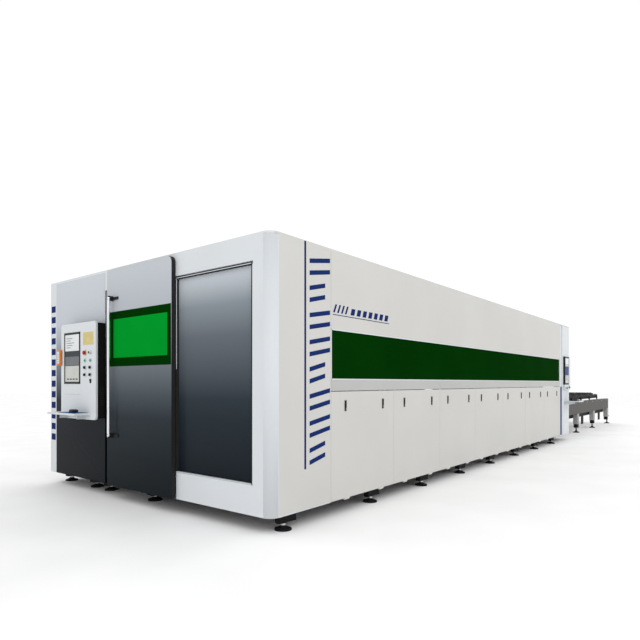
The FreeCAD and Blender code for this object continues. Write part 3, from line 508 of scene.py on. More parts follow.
near_roll, far_roll, roll_segments = 0.086, 0.030, 20
columns = bmesh.new()
corner_parts = loose_parts("corner_columns")
for low, high in corner_parts:
    if low.x < front_x + 0.01:
        near = low.y < 0
        rolled_column(columns, low, high, side_y if near else far_y, near_roll if near else far_roll)
pillar_x, pillar_top = rear_x - 0.547, roof_z - 0.025
return_x, return_depth = rear_x - 0.069, 0.300
plate_depth, channel_x, channel_inset = 0.058, pillar_x - 0.148, 0.014
sill_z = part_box("access_door_1")[1].z
for flip in (1, -1):
    rear_plate(flip, (pillar_x, rear_x), (0.0, plate_depth), (skin_z, pillar_top))
    rear_plate(flip, (return_x, rear_x), (plate_depth, return_depth), (skin_z, pillar_top))
for low_z, high_z, tint in ((skin_z, sill_z, 1), (sill_z, pillar_top, 0)):
    rear_plate(1, (channel_x, pillar_x), (channel_inset, plate_depth), (low_z, high_z), tint)
columns_piece = finish(columns, "rolled_corners", [white_coat, navy_coat], "machine")
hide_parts("corner_columns")
print("corner columns:", len(corner_parts))


# %% [markdown]
# ## The roof
# Roof sheets lie across the frame in a row. Their top rims are soft, and the two outer front corners follow
# the columns' radii, so that each corner reads as one rolled sheet from the floor to the roof.

# %% Roof sheets
def roof_sheet(work, low, high, first, rim):
    """A sheet with a soft top rim. The first one also has its two front corners rounded."""
    before = set(work.faces)
    made = plain_block(work, low, high)
    for corner_y, radius in ((low.y, near_roll), (high.y, far_roll)) if first else ():
        soften(work, edges_on(made, x=low.x, y=corner_y), radius, roll_segments)
    corners = {vert for face in work.faces if face not in before for vert in face.verts}
    soften(work, edges_on(corners, z=high.z), rim, 3)


roof = bmesh.new()
sheets = sorted(loose_parts("roof_panels"), key=lambda part: part[0].x)
for number, (low, high) in enumerate(sheets):
    roof_sheet(roof, low, high, number == 0, 0.006)
# Faces turned to the long sides take the darker coat as painted shade; the rest stay white.
for face in roof.faces:
    face.smooth = abs(face.normal.x) > 0.02 and abs(face.normal.y) > 0.02
    face.material_index = 1 if abs(face.normal.y) > 0.9 else 0
roof_piece = finish(roof, "roof_sheets", [white_coat, side_shade_coat], "machine")
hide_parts("roof_panels")
print("roof sheets:", len(sheets))

# %% [markdown]
# ## Printed colour, without words
# A machine like this carries painted stripes. Here they are plain shapes only: a tall navy stripe, a ladder
# of bars beside it whose inner ends kick up, and a small run of leaning bars over the window. Each is a skin
# 0.6 mm thick, so the export keeps it as geometry.

# %% Stripes and slanted bars
def side_print(x0, x1, z0, z1):
    """A painted rectangle on the long side, and its vertices."""
    faces = block(side_paint, (front_x + x0, side_y - paint_depth, z0), (front_x + x1, side_y, z1), soft=0)
    return {vert for face in faces for vert in face.verts}


def leaning_bars(count, start, pitch, width, tall, lean):
    """A row of bars that lean towards +X as they rise."""
    for step in range(count):
        x = start + step * pitch
        for vert in side_print(x, x + width, bar_base, bar_base + tall):
            vert.co.x += lean * (vert.co.z - bar_base) / tall


paint_depth = 0.0006
side_paint = bmesh.new()
side_print(0.401, 0.425, 0.478, 2.392)
ladder_low, ladder_high, ladder_steps = 0.505, 2.345, 8
ladder_x, kick_from, kick = 0.47, 0.6, 0.05
pitch = (ladder_high - ladder_low) / ladder_steps
for step in range(ladder_steps):
    length = 0.285 if step % 3 else 0.215
    for rung in range(2):
        z = ladder_low + (step + rung * 0.44) * pitch
        for vert in side_print(ladder_x, ladder_x + length, z, z + pitch * 0.17):
            if vert.co.x > front_x + kick_from:
                vert.co.z += kick
bar_base = 1.835
leaning_bars(4, 0.80, 0.06, 0.026, 0.075, 0.035)
leaning_bars(7, 1.07, 0.10, 0.062, 0.062, 0.02)
side_print(0.795, 1.765, 1.812, 1.819)
finish(side_paint, "painted_stripes", [navy_coat], "machine")

dash_count, dash_base, dash_pitch, dash_height = 13, 0.52, 0.127, 0.075
dashes = bmesh.new()
for step in range(dash_count):
    z = dash_base + step * dash_pitch
    block(dashes, (front_x - paint_depth, side_y + 3.548, z), (front_x, side_y + 3.650, z + dash_height),
          soft=0)
finish(dashes, "front_dashes", [navy_coat], "machine")
print("painted stripes done")

# %% [markdown]
# ## Trim along the long side
# White edge strips frame the window band, grey covers lie on the sill under it, and a bright return shows
# under the skin near the front corner. The white strips and the return are painted highlights on the folded
# edges, and the grey of the covers is painted shade on the sloping sill. They are thin folded strips, one
# bevelled block each.

# %% Window trims and bottom return
window_low, window_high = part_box("near_window")
strip_width, strip_proud, strip_back = 0.010, 0.001, 0.009
# The white trims are painted highlights along the window's edges.
trim = bmesh.new()
for z in (window_low.z, window_high.z - strip_width):
    block(trim, (window_low.x, side_y - strip_proud, z),
          (window_high.x, side_y + strip_back, z + strip_width), soft=0.001)
for x in (window_low.x, window_high.x - strip_width):
    block(trim, (x, side_y - strip_proud, window_low.z),
          (x + strip_width, side_y + strip_back, window_high.z), soft=0.001)
finish(trim, "window_trim_highlight", [white_coat], "machine")

# The bright return is a painted highlight along the skin's lower edge.
return_highlight = bmesh.new()
block(return_highlight, (front_x + 0.09, side_y - 0.0012, skin_z - 0.001), (front_x + 0.76, side_y, skin_z + 0.008),
      soft=0.0005)
finish(return_highlight, "bottom_return_highlight", [white_coat], "machine")

# The grey covers carry painted shade for the sill's slope.
tallest_sill = 0.12
sill = bmesh.new()
for low, high in loose_parts("near_side_panels"):
    if high.z - low.z < tallest_sill:
        block(sill, (low.x, low.y - 0.0008, low.z), (high.x, low.y + 0.002, high.z), soft=0.0015)
finish(sill, "sill_shade_strips", [sill_coat], "machine")
print("trims done")

# %% [markdown]
# ## Latches on the service doors
# Each service door has two flush paddle latches. The bezel rides on the door and frames three sides of the
# paddle. The paddle rides on its own body, and its top is open so that it can lift.

# %% Latches
rim_width, rim_proud, blade_inset = 0.0035, 0.005, 0.004
grip_half, grip_low, grip_high = 0.006, 0.006, 0.03


def add_latch(number):
    """Both paddles of one service door, with their bezels."""
    paddle, bezel = bmesh.new(), bmesh.new()
    for low, high in loose_parts(f"access_latch_{number}"):
        block(paddle, (low.x + blade_inset, low.y + 0.001, low.z + blade_inset),
              (high.x - blade_inset, high.y, high.z - blade_inset), soft=0.003)
        middle = (low.x + high.x) / 2
        block(paddle, (middle - grip_half, low.y, low.z + grip_low),
              (middle + grip_half, low.y + 0.004, low.z + grip_high), soft=0.0015, tint=1)
        for x0, x1, z1 in ((low.x, low.x + rim_width, high.z), (high.x - rim_width, high.x, high.z),
                           (low.x, high.x, low.z + rim_width)):
            block(bezel, (x0, side_y - rim_proud, low.z), (x1, side_y, z1), soft=0.001)
    blade = finish(paddle, f"latch_paddles_{number}", [black_plastic, grey_plastic],
                   f"access_latch_{number}")
    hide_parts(f"access_latch_{number}")
    finish(bezel, f"latch_bezels_{number}", [black_plastic], f"access_door_{number}")


for number in range(1, len(doors) + 1):
    add_latch(number)
print("latches:", len(latches))

# %% [markdown]
# ## The sliding door
# The leaf is one folded panel with a rounded top corner. Its edge is black, because the lacquer stops at the
# fold and a rubber seal runs round it. A dark laser-safe pane nearly fills its width, with a brighter field
# in the middle. The leaf is a block: one edge gets the wide bevel, the front rim a small one, and the panes
# are thin sheets on its face. Behind it two hangers carry rollers over the track.

# %% Door leaf, hangers and panes
def rounded_panel(work, low, high, corners, radius, segments, rim, rim_segments):
    """An upright panel facing -X. Some of its edges along X are rounded, then its front rim is softened."""
    made = plain_block(work, low, high)
    deep = [edge for edge in edges_on(made, **corners) if edge.verts[0].co.x != edge.verts[1].co.x]
    soften(work, deep, radius, segments)
    soften(work, edges_on(work.verts, x=low[0]), rim, rim_segments)


pane_low, pane_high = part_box("door_window")
slab_back = front_x - 0.005
leaf = bmesh.new()
rounded_panel(leaf, (leaf_face, leaf_low.y, leaf_low.z), (slab_back, leaf_high.y, leaf_high.z),
              {"y": leaf_low.y, "z": leaf_high.z}, 0.065, 14, 0.004, 3)
for face in leaf.faces:
    on_front = face.calc_center_median().x < leaf_face + 0.002
    face.material_index = 0 if on_front else 1

hanger_sheet, arm_top, arm_bottom = 0.006, 0.065, 0.071
roller_radius, roller_width, roller_drop, roller_inset = 0.012, 0.014, 0.012, 0.020
roller = [(0, 0), (roller_radius, 0), (roller_radius, roller_width), (0, roller_width)]
for low, high in loose_parts("door_leaf"):
    if high.x > slab_back + 0.02:
        block(leaf, (slab_back, low.y, high.z - arm_bottom), (high.x, high.y, high.z - arm_top), soft=0.001,
              tint=2)
        block(leaf, (high.x - hanger_sheet, low.y, high.z - arm_bottom), high, soft=0.001, tint=2)
        turned(leaf, roller, (high.x - roller_inset, (low.y + high.y) / 2, high.z - roller_drop), TO_X, 20, 2)
leaf_piece = finish(leaf, "sliding_leaf", [leaf_gloss, rubber, zinc_steel], "operator_door")
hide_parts("door_leaf")

sheet = 0.0008
panes = bmesh.new()
block(panes, (leaf_face - sheet, leaf_low.y + 0.004, pane_low.z),
      (leaf_face, leaf_high.y - 0.03, pane_high.z), soft=0)
block(panes, (leaf_face - 2 * sheet, leaf_low.y + 0.060, pane_low.z + 0.088),
      (leaf_face - sheet, leaf_high.y - 0.128, pane_high.z - 0.078), soft=0, tint=1)
panes_piece = finish(panes, "door_panes", [dark_window, bright_window], "operator_door")
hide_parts("door_window")
print("door leaf", round(leaf_high.y - leaf_low.y, 3), "m wide")

# %% [markdown]
# ### The pull handle
# A bright bar stands off the leaf on two black blocks, each on a flat foot and held by two small bolts.
# Each foot reaches far past its block towards -Y: that long black plate is partly painted reflection and
# shadow of the block on the gloss leaf.

# %% Pull handle
bar_low, bar_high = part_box("door_handle")
bar_depth, bar_margin, stand_height = 0.026, 0.012, 0.050
foot_depth, foot_and_reflection_reach, foot_margin = 0.012, 0.085, 0.010
handle = bmesh.new()
block(handle, (bar_low.x, bar_low.y, bar_low.z + bar_margin),
      (bar_low.x + bar_depth, bar_high.y, bar_high.z - bar_margin), soft=0.010, segments=5)
for z in (bar_low.z, bar_high.z - stand_height):
    block(handle, (bar_low.x + 0.004, bar_low.y + 0.004, z),
          (leaf_face - 0.004, bar_high.y - 0.004, z + stand_height), soft=0.006, tint=1, segments=3)
    # The foot reaches far towards -Y as painted reflection and shadow of the block on the gloss leaf.
    block(handle, (leaf_face - foot_depth, bar_low.y - foot_and_reflection_reach, z + foot_margin),
          (leaf_face, bar_high.y, z + stand_height - foot_margin), soft=0.004, tint=1)
    for bolt_z in (z + bar_margin, z + stand_height - bar_margin):
        turned(handle, disc_outline(0.005, 0.003, 0.001),
               (bar_low.x, (bar_low.y + bar_high.y) / 2, bolt_z), TO_X, 16, 2)
handle_piece = finish(handle, "pull_handle", [bar_metal, black_plastic, zinc_steel], "operator_door")
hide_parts("door_handle")
print("handle", round(bar_high.z - bar_low.z, 3), "m tall")

# %% [markdown]
# ## Round the recess
# The panel behind the door's path sits back from the front plane. A dark seal and a thin bright bead run
# round its opening, which hides the raw fold. The bead stops short of the door's hangers.

# %% Recess bead and seals
bead_width, seal_end, top_seal, bead_proud = 0.006, 0.018, 0.012, 0.0012
edge_low_y, edge_high_y = side_y + 0.2, side_y + 1.2
edge_low_z, edge_high_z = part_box("recess_panel")[0].z + 0.003, 2.166
bead = bmesh.new()
for y0, y1, z0, z1, colour in (
        (edge_low_y, edge_low_y + bead_width, edge_low_z, edge_high_z, 0),
        (edge_low_y + bead_width, edge_low_y + seal_end, edge_low_z, edge_high_z, 1),
        (edge_low_y, edge_high_y, edge_high_z - bead_width, edge_high_z, 0),
        (edge_low_y, edge_high_y, edge_high_z - top_seal, edge_high_z - bead_width, 1),
        (edge_low_y, edge_high_y, edge_low_z, edge_low_z + bead_width, 0)):
    block(bead, (front_x - bead_proud, y0, z0), (front_x + 0.024, y1, z1), soft=0.0008, tint=colour)
jamb_front, jamb_back, painted_glint_low = front_x + 0.004, front_x + 0.052, 1.33
block(bead, (jamb_front, edge_high_y - 0.001, edge_low_z),
      (jamb_back, edge_high_y + 0.045, edge_high_z - 0.014), soft=0.002, tint=1)
# A thin white strip down the jamb's edge is a painted highlight.
block(bead, (front_x - bead_proud, edge_high_y - 0.004, painted_glint_low),
      (jamb_front, edge_high_y - 0.0005, edge_high_z), soft=0)
finish(bead, "recess_bead", [white_coat, rubber], "machine")
print("recess bead done")

# %% [markdown]
# ## The operator console
# A white fascia with round corners stands off a black box. On it are a tall screen with a dark bezel, a plain
# brass-coloured plate, two columns of controls, and a shelf for a keyboard. The fascia is made as the door
# leaf is, with all four corners rounded.

# %% Fascia and box
fascia = bmesh.new()
rounded_panel(fascia, fascia_low, fascia_high, {}, 0.040, 10, 0.006, 4)
fascia_piece = finish(fascia, "console_front", [white_coat], "machine")
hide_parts("console_fascia")

housing_low, housing_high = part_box("console_housing")
vent_count, vent_base, vent_pitch, vent_height = 9, 0.14, 0.022, 0.009
housing = bmesh.new()
# The box is black, and its black also paints the shade along the console's side.
block(housing, housing_low, housing_high, soft=0.012, segments=4)
for step in range(vent_count):
    z = housing_low.z + vent_base + step * vent_pitch
    block(housing, (housing_low.x + 0.03, housing_low.y - 0.0015, z),
          (housing_high.x - 0.02, housing_low.y + 0.001, z + vent_height), soft=0.001, tint=1)
housing_piece = finish(housing, "console_box", [black_coat, rubber], "machine")
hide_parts("console_housing")
print("console box done")

# %% [markdown]
# ### Screen
# The screen shows plain fields of colour only: a white top with thin rules, two grey bands, and a pale lower
# pane with four dark keys. They sit inside a slim raised bezel. A blank plate is fixed beside the screen.

# %% Screen and its fields
def emissive(name, colour, strength):
    """A lit screen field. Its colour drifts a little, as a panel seen at a slant does."""
    made, shader = start_material(name, colour, 0.35, index=1.1)
    shader.inputs["Emission Color"].default_value = (*colour, 1.0)
    shader.inputs["Emission Strength"].default_value = strength
    vary_colour(made, shader, tone(colour, 0.94), tone(colour, 1.03), pattern(made.node_tree, 6.0))
    return made


field_white = emissive("field_white", (0.62, 0.64, 0.65), 0.15)
field_pale = emissive("field_pale", (0.50, 0.51, 0.48), 0.12)
field_grey = emissive("field_grey", (0.16, 0.175, 0.18), 0.05)
field_dark = emissive("field_dark", (0.055, 0.06, 0.065), 0.03)
field_blue = emissive("field_blue", (0.03, 0.065, 0.19), 0.05)
screen_low, screen_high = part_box("console_screen")
screen_face, bezel = screen_low.x + 0.002, 0.024
tall = screen_high.z - screen_low.z
inner_low, inner_high = screen_low.y + bezel, screen_high.y - bezel
field_lift, mark_lift = 0.0006, 0.0003


def level(share):
    """The height of a share of the screen, from its lower edge."""
    return screen_low.z + share * tall


screen = bmesh.new()
block(screen, (screen_face, screen_low.y, screen_low.z), screen_high, soft=0.001)
for y0, y1, z0, z1 in ((screen_low.y, screen_high.y, screen_high.z - bezel, screen_high.z),
                       (screen_low.y, screen_high.y, screen_low.z, screen_low.z + bezel),
                       (screen_low.y, inner_low, screen_low.z, screen_high.z),
                       (inner_high, screen_high.y, screen_low.z, screen_high.z)):
    block(screen, (screen_low.x, y0, z0), (screen_face + 0.001, y1, z1), soft=0.0015)
fields = ((0.04, 0.35, 3), (0.36, 0.53, 2), (0.53, 0.64, 4), (0.64, 0.96, 1))
for start, stop, colour in fields:
    block(screen, (screen_face - field_lift, inner_low, level(start)), (screen_face, inner_high, level(stop)),
          soft=0, tint=colour)
mark_back = screen_face - field_lift
rule_y, rule_height, key_width, key_pitch = inner_high - 0.03, 0.007, 0.044, 0.064
for step in range(5):
    z = level(0.70 + 0.045 * step)
    span = (inner_high - inner_low) * (0.30 + 0.13 * (step % 3))
    block(screen, (mark_back - mark_lift, rule_y - span, z), (mark_back, rule_y, z + rule_height), soft=0,
          tint=2)
for step in range(4):
    y = inner_low + 0.03 + step * key_pitch
    block(screen, (mark_back - mark_lift, y, level(0.08)), (mark_back, y + key_width, level(0.105)), soft=0,
          tint=4)
screen_piece = finish(screen, "console_display",
                      [black_plastic, field_white, field_grey, field_pale, field_dark], "machine")
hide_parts("console_screen")

plate_low, plate_high = Vector((0, side_y + 2.440, 1.606)), Vector((0, side_y + 2.656, 1.742))
screw_margin, plate_skin = 0.009, 0.0008
plate = bmesh.new()
block(plate, (fascia_low.x - 0.0012, plate_low.y, plate_low.z), (fascia_low.x, plate_high.y, plate_high.z),
      soft=0.0005)
for y in (plate_low.y + screw_margin, plate_high.y - screw_margin):
    for z in (plate_low.z + screw_margin, plate_high.z - screw_margin):
        turned(plate, disc_outline(0.0035, 0.0015, 0.0004), (fascia_low.x - plate_skin, y, z),
               TO_MINUS_X, 12, 1)
block(plate, (fascia_low.x - plate_skin, side_y + 2.72, 1.075), (fascia_low.x, side_y + 3.06, 1.079),
      soft=0, tint=2)
finish(plate, "blank_plate", [yellow_plate, zinc_steel, sill_coat], "machine")
print("screen fields:", len(fields))

# %% [markdown]
# ### Buttons and switches
# Each control is a moving cap in a fixed ring. The mushroom stop is turned from a domed outline, push buttons
# have a lens in a bright bezel, and selector switches have a raised grip with a white pointer. The caps ride
# on their own bodies, and the rings stay with the machine.

# %% Rings, buttons and the stop
def control_centre(name):
    """The middle of a CAD node, as Y and Z."""
    low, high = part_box(name)
    return (low.y + high.y) / 2, (low.z + high.z) / 2


def ring(work, name, outer, inner, proud, tint=0):
    """A fixed ring on the fascia, round a control."""
    outline = [(inner, 0.0), (outer, 0.0), (outer, proud * 0.6), (outer - proud * 0.4, proud),
               (inner, proud), (inner, 0.0)]
    turned(work, outline, (fascia_low.x, *control_centre(name)), TO_MINUS_X, 32, tint)


def mushroom_outline(depth):
    """A stem and a domed head whose top is this far from the stem's foot."""
    return [(0, 0), (0.0105, 0), (0.0105, depth - 0.014), (0.0200, depth - 0.013), (0.0220, depth - 0.0105),
            (0.0218, depth - 0.006), (0.0185, depth - 0.0022), (0.0110, depth - 0.0005), (0, depth)]


cap_radius = 0.0145
buttons = ("start_button", "reset_button")
rings = bmesh.new()
for name in (*buttons, *selectors, "key_switch"):
    ring(rings, name, 0.0205, 0.0160, 0.006)
ring(rings, "emergency_stop", 0.0300, 0.0120, 0.003, 1)
finish(rings, "control_rings", [zinc_steel, yellow_plate], "machine")

for name in buttons:
    low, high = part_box(name)
    depth = high.x - low.x
    cap = bmesh.new()
    turned(cap, [(0, 0), (cap_radius, 0), (cap_radius, depth - 0.004), (0.0135, depth - 0.0015),
                 (0.0105, depth - 0.0012), (0.0095, depth - 0.0004), (0, depth)],
           (high.x, *control_centre(name)), TO_MINUS_X, 32)
    cap_piece = finish(cap, name + "_lens", [green_plastic], name)
    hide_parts(name)

stop_low, stop_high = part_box("emergency_stop")
mushroom = bmesh.new()
turned(mushroom, mushroom_outline(stop_high.x - stop_low.x), (stop_high.x, *control_centre("emergency_stop")),
       TO_MINUS_X, 40)
mushroom_piece = finish(mushroom, "stop_mushroom", [red_plastic], "emergency_stop")
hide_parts("emergency_stop")
print("rings, buttons and stop done")


# %% Selectors, key and port cover
def barrel(work, back_x, y, z, top_radius, tint=0):
    """The turned body of a rotary control, from inside the fascia to just in front of it."""
    length = back_x - (fascia_low.x - 0.012)
    turned(work, [(0, 0), (cap_radius, 0), (cap_radius, length - 0.002), (top_radius, length), (0, length)],
           (back_x, y, z), TO_MINUS_X, 32, tint)


def centred_block(work, x0, x1, middle, half_y, half_z, soft, tint=0, segments=2):
    """A block between two X, with the same reach each way from a middle in Y and Z."""
    y, z = middle
    block(work, (x0, y - half_y, z - half_z), (x1, y + half_y, z + half_z), soft, tint, segments)


barrel_face = fascia_low.x - 0.011
for name in selectors:
    low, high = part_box(name)
    y, z = control_centre(name)
    knob = bmesh.new()
    barrel(knob, high.x, y, z, 0.0130)
    centred_block(knob, low.x, barrel_face, (y, z), 0.004, 0.014, 0.0022, segments=3)
    centred_block(knob, low.x, low.x + 0.0012, (y, z + 0.0075), 0.0009, 0.0045, 0, 1)
    knob_piece = finish(knob, name + "_knob", [black_plastic, white_coat], name)
    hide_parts(name)

key_low, key_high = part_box("key_switch")
key_middle = control_centre("key_switch")
blade_x, bow_x = fascia_low.x - 0.020, fascia_low.x - 0.019
key = bmesh.new()
barrel(key, key_high.x, *key_middle, 0.0125, 1)
centred_block(key, blade_x, barrel_face, key_middle, 0.0012, 0.004, 0.0004, 1)
centred_block(key, key_low.x, bow_x, key_middle, 0.003, 0.012, 0.0025, segments=3)
key_piece = finish(key, "key_and_barrel", [black_plastic, zinc_steel], "key_switch")
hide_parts("key_switch")

port_y, port_z, port_face = side_y + 2.500, 1.222, fascia_low.x - 0.004
port = bmesh.new()
centred_block(port, port_face, fascia_low.x, (port_y, port_z), 0.016, 0.022, 0.002)
centred_block(port, fascia_low.x - 0.010, port_face, (port_y + 0.001, port_z + 0.007), 0.010, 0.009, 0.003)
finish(port, "data_port_cover", [rubber], "machine")
print("controls done")

# %% [markdown]
# ### Shelf, mat, mouse and remote
# The shelf is one folded sheet with soft edges. A mouse on a mat lies on it, and a hand remote hangs in a
# holder at the console's side. The mouse starts as a block and is rounded by a subdivision surface.

# %% Shelf and what lies on it
shelf_low, shelf_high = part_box("keyboard_shelf")
shelf_top, gusset = shelf_high.z, 0.004
shelf = bmesh.new()
block(shelf, shelf_low, shelf_high, soft=0.005, segments=4)
for y in (shelf_low.y + 0.10, shelf_high.y - 0.11):
    block(shelf, (fascia_low.x - 0.09, y, shelf_low.z - 0.045), (fascia_low.x, y + gusset, shelf_low.z),
          soft=0.001)
shelf_piece = finish(shelf, "front_shelf", [white_coat], "machine")
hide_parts("keyboard_shelf")

mat_margin, mat_length, mat_height = 0.012, 0.36, 0.004
mat = bmesh.new()
block(mat, (shelf_low.x + mat_margin, shelf_low.y + 0.02, shelf_top),
      (shelf_high.x - mat_margin, shelf_low.y + mat_length, shelf_top + mat_height), soft=0.0018)
finish(mat, "mouse_mat", [blue_mat], "machine")


def smooth_blob(name, low, high, material):
    """A palm-shaped lump: a block pinched at its ends, then rounded by subdivision."""
    work = bmesh.new()
    low, high = Vector(low), Vector(high)
    middle = (low + high) / 2
    bmesh.ops.create_cube(work, size=1.0)
    bmesh.ops.subdivide_edges(work, edges=work.edges[:], cuts=1, use_grid_fill=True)
    bmesh.ops.scale(work, vec=high - low, verts=work.verts)
    bmesh.ops.translate(work, vec=middle, verts=work.verts)
    for vert in work.verts:
        if vert.co.z > middle.z + 1e-6:
            vert.co.y += 0.12 * (middle.y - vert.co.y)
    for face in work.faces:
        face.smooth = True
    made = finish(work, name, [material], "machine")
    rounding = made.modifiers.new("Rounding", "SUBSURF")
    rounding.levels = rounding.render_levels = 3


mouse_y, mouse_half = shelf_low.y + 0.16, 0.055
smooth_blob("mouse_body", (shelf_low.x + 0.045, mouse_y - mouse_half, shelf_top + 0.0035),
            (shelf_low.x + 0.112, mouse_y + mouse_half, shelf_top + 0.040), black_plastic)

remote_y0, remote_y1 = fascia_high.y - 0.032, fascia_high.y + 0.045
key_margin, key_y, key_z = 0.013, remote_y0 + 0.029, 1.440
remote = bmesh.new()
block(remote, (fascia_low.x - 0.004, fascia_high.y - 0.020, 1.400),
      (fascia_low.x + 0.045, remote_y1 + 0.004, 1.500), soft=0.004, tint=2)
block(remote, (fascia_low.x - 0.030, remote_y0, 1.395), (fascia_low.x - 0.003, remote_y1, 1.572),
      soft=0.008, segments=4)
block(remote, (fascia_low.x - 0.0315, remote_y0 + key_margin, 1.420),
      (fascia_low.x - 0.0295, remote_y1 - key_margin, 1.552), soft=0.0006, tint=1)
for row in range(4):
    for column in range(2):
        turned(remote, disc_outline(0.0042, 0.002, 0.0006),
               (fascia_low.x - 0.0312, key_y + column * 0.018, key_z + row * 0.026), TO_MINUS_X, 16, 2)
finish(remote, "hand_remote", [orange_plastic, white_coat, grey_plastic], "machine")
print("shelf fittings done")

# %% [markdown]
# ## The rear console
# The pillar by the exchange table has its own slim screen, a few buttons and a shelf, so that a loader can
# work there. It faces the long side, so its fields are flat on -Y.

# %% Rear console
rear_low, rear_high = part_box("rear_console")
panel_face, bezel_end = rear_low.y, rear_low.x + 0.310
bezel_low, bezel_high = 1.166, 1.748
bezel_face = panel_face - 0.0015
field_face, rule_face = bezel_face - 0.0006, bezel_face - 0.0009
rear = bmesh.new()
block(rear, (rear_low.x, panel_face, rear_low.z), rear_high, soft=0.004, segments=3, tint=1)
block(rear, (rear_low.x - 0.0005, panel_face, bezel_low),
      (rear_low.x + 0.006, rear_high.y - 0.002, bezel_high), soft=0.0004)
block(rear, (rear_low.x + 0.006, bezel_face, bezel_low), (bezel_end, panel_face, bezel_high), soft=0.0007)
for z0, z1, colour in ((1.59, 1.715, 2), (1.545, 1.585, 3), (1.365, 1.540, 4), (1.20, 1.36, 3)):
    block(rear, (rear_low.x + 0.035, field_face, z0), (bezel_end - 0.025, bezel_face, z1), soft=0,
          tint=colour)
for step in range(3):
    z = 1.262 + step * 0.036
    block(rear, (rear_low.x + 0.07, rule_face, z), (bezel_end - 0.06 - step * 0.03, field_face, z + 0.010),
          soft=0, tint=5)
for step, colour in enumerate((6, 6, 0)):
    turned(rear, disc_outline(0.014, 0.010, 0.002), (rear_low.x + 0.06 + step * 0.070, panel_face, 1.095),
           TO_MINUS_Y, 24, colour)
rear_piece = finish(rear, "rear_panel", [black_plastic, white_coat, field_white, field_pale, field_blue,
                                         field_grey, green_plastic], "machine")
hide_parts("rear_console")

button_low, button_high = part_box("rear_button")
knob = bmesh.new()
turned(knob, mushroom_outline(button_high.y - button_low.y),
       ((button_low.x + button_high.x) / 2, button_high.y, (button_low.z + button_high.z) / 2),
       TO_MINUS_Y, 36)
knob_piece = finish(knob, "rear_mushroom", [black_plastic], "rear_button")
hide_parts("rear_button")
print("rear console done")

# %% Rear shelf and keyboard
ledge_low, ledge_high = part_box("rear_shelf")
ledge_top = ledge_high.z
ledge = bmesh.new()
block(ledge, ledge_low, ledge_high, soft=0.005, segments=4)
for x in (ledge_low.x + 0.04, ledge_high.x - 0.044):
    block(ledge, (x, ledge_high.y - 0.14, ledge_low.z - 0.05), (x + gusset, ledge_high.y, ledge_low.z),
          soft=0.001)
ledge_piece = finish(ledge, "rear_ledge", [white_coat], "machine")
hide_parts("rear_shelf")

rows, columns_across, key_length, key_depth, row_pitch, column_pitch = 5, 14, 0.017, 0.020, 0.0248, 0.0212
board = bmesh.new()
block(board, (ledge_low.x + 0.02, ledge_low.y + 0.06, ledge_top),
      (ledge_high.x - 0.02, ledge_low.y + 0.20, ledge_top + 0.014), soft=0.003)
for row in range(rows):
    for column in range(columns_across):
        x = ledge_low.x + 0.030 + column * column_pitch
        y = ledge_low.y + 0.070 + row * row_pitch
        block(board, (x, y, ledge_top + 0.013), (x + key_length, y + key_depth, ledge_top + 0.018),
              soft=0.002, tint=1, segments=1)
finish(board, "keyboard", [black_plastic, rubber], "machine")
print("keys:", rows * columns_across)

# %% [markdown]
# ## The exchange table
# The table's legs are lighter than its beams and stand in black shoes. Under the beams stand an inner rail
# and posts painted black, which also paints the shade under the beams. Small bolts run along the beams, and
# rubber buffers and clips sit on the pallets.

# %% Table details
def table_strip(flip, x0, x1, span_y, span_z, soft, tint):
    """A block on one side of the table, with Y counted inwards from the enclosure's skin."""
    low_y, high_y = across(*span_y, flip)
    block(table, (x0, low_y, span_z[0]), (x1, high_y, span_z[1]), soft=soft, tint=tint)


beam_low, beam_high = 0.456, 0.740
leg_half, leg_foot, shoe_foot = 0.080, 0.206, 0.118
track_low, post_foot, post_width = 0.350, 0.150, 0.24
bolt_count, bolt_start, bolt_pitch, bolt_drop = 9, 0.30, 0.60, 0.03
legs = [rear_x + along for along in (1.760, 3.540, 5.400)]
end_x = legs[-1] + leg_half
table = bmesh.new()
for flip, outwards in ((1, TO_MINUS_Y), (-1, TO_Y)):
    for x in legs:
        table_strip(flip, x - leg_half - 0.002, x + leg_half + 0.002, (0.198, 0.302), (leg_foot, beam_low),
                    0.004, 0)
        table_strip(flip, x - 0.062, x + 0.075, (0.205, 0.295), (shoe_foot, leg_foot + 0.004), 0.006, 1)
    table_strip(flip, end_x - 0.045, end_x + 0.003, (0.197, 0.303), (leg_foot, beam_high + 0.001), 0.003, 0)
    # The inner rail and the posts are black, partly their paint, partly painted shade under the beams.
    table_strip(flip, rear_x + 0.03, end_x - 0.16, (0.304, 0.318), (track_low, beam_low - 0.001), 0.003, 1)
    for along in (0.03, 0.95, 2.55, 4.60):
        x = rear_x + along
        table_strip(flip, x, x + post_width, (0.304, 0.316), (post_foot, track_low + 0.002), 0.003, 1)
    beam_face = across(0.2, 0.2, flip)[0]
    for step in range(bolt_count):
        turned(table, disc_outline(0.011, 0.005, 0.001),
               (rear_x + bolt_start + step * bolt_pitch, beam_face, beam_high - bolt_drop), outwards, 12, 2)
finish(table, "table_details", [post_coat, black_coat, zinc_steel], "machine")

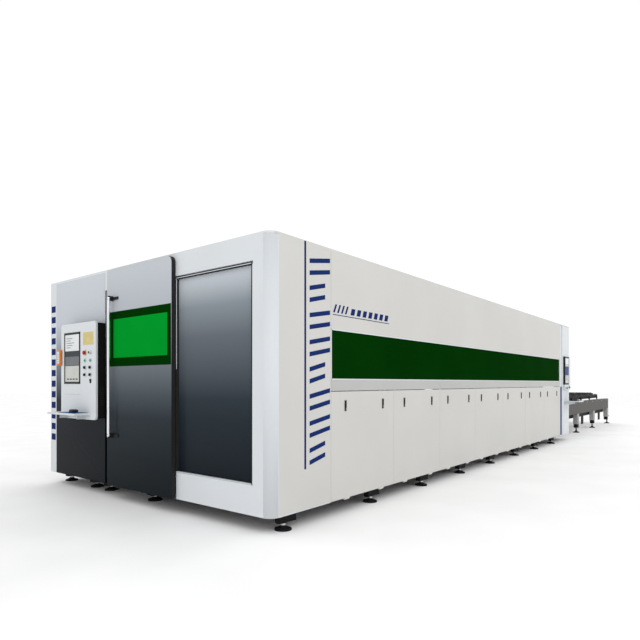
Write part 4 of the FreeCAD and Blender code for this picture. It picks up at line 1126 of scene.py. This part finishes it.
buffer_outline = [(0, 0), (0.030, 0), (0.030, 0.006), (0.024, 0.010), (0.022, 0.034), (0.016, 0.040),
                  (0, 0.040)]
clip_count, clip_start, clip_half, clip_width = 10, 0.28, 0.030, 0.008
for name in ("upper_pallet", "lower_pallet"):
    low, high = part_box(name)
    buffers = bmesh.new()
    for y in (low.y + 0.070, high.y - 0.070):
        for x, turn in ((high.x, TO_X), (low.x, TO_MINUS_X)):
            turned(buffers, buffer_outline, (x, y, high.z - 0.050), turn, 20)
    clip_pitch = (high.x - low.x - 2 * clip_start) / (clip_count - 1)
    for step in range(clip_count):
        x = low.x + clip_start + step * clip_pitch
        for y in (low.y + 0.0255, high.y - 0.0335):
            block(buffers, (x - clip_half, y, high.z - 0.004),
                  (x + clip_half, y + clip_width, high.z + 0.020), soft=0.002)
    finish(buffers, name + "_buffers", [rubber], name)
print("table details done")

# %% [markdown]
# ## Floor, light and camera
# A pale floor meets a white world without a line. Two large soft lights stand where a studio would hang
# them: one over the near front corner, and a wider one along the near side. The camera stands at chest height
# off the same corner. It looks level, and its lens shift keeps the uprights parallel.

# %% Stage, lights and camera
reach = 60
floor_mesh = bpy.data.meshes.new("studio_floor")
floor_mesh.from_pydata([(-reach, -reach, 0), (reach, -reach, 0), (reach, reach, 0), (-reach, reach, 0)], [],
                       [(0, 1, 2, 3)])
floor_mesh.materials.append(powder_coat("floor_paint", (0.965, 0.965, 0.965), 0.9, 0.01))
studio_floor = bpy.data.objects.new("studio_floor", floor_mesh)
bpy.context.scene.collection.objects.link(studio_floor)
scene = bpy.context.scene
scene.view_settings.view_transform = "Standard"
world = scene.world or bpy.data.worlds.new("World")
scene.world = world
world.use_nodes = True
back = world.node_tree.nodes["Background"]
back.inputs["Color"].default_value = (1.0, 1.0, 1.0, 1.0)
back.inputs["Strength"].default_value = 1.03


def soft_light(name, place, aim, size, power):
    """A rectangular area light at one point, turned towards another."""
    light = bpy.data.lights.new(name, "AREA")
    light.shape = "RECTANGLE"
    light.size, light.size_y = size
    light.energy = power
    lamp = bpy.data.objects.new(name, light)
    lamp.location = place
    lamp.rotation_euler = (Vector(aim) - Vector(place)).to_track_quat("-Z", "Y").to_euler()
    scene.collection.objects.link(lamp)


soft_light("corner_softbox", (-11.0, -7.5, 6.5), (-5.0, -1.0, 1.2), (5.0, 4.0), 120.0)
soft_light("long_softbox", (4.0, -9.0, 6.0), (3.0, 0.0, 0.8), (9.0, 3.0), 120.0)

lens = bpy.data.cameras.new("main_camera")
lens.lens = 29.66
lens.sensor_width = 36.0
lens.shift_y = 0.0984
lens.clip_end = 120.0
viewer = bpy.data.objects.new("main_camera", lens)
viewer.location = (-10.22, -4.54, 1.201)
viewer.rotation_euler = (math.radians(90.0), 0.0, math.radians(-51.54))
scene.collection.objects.link(viewer)
scene.camera = viewer
print("camera and lights placed")
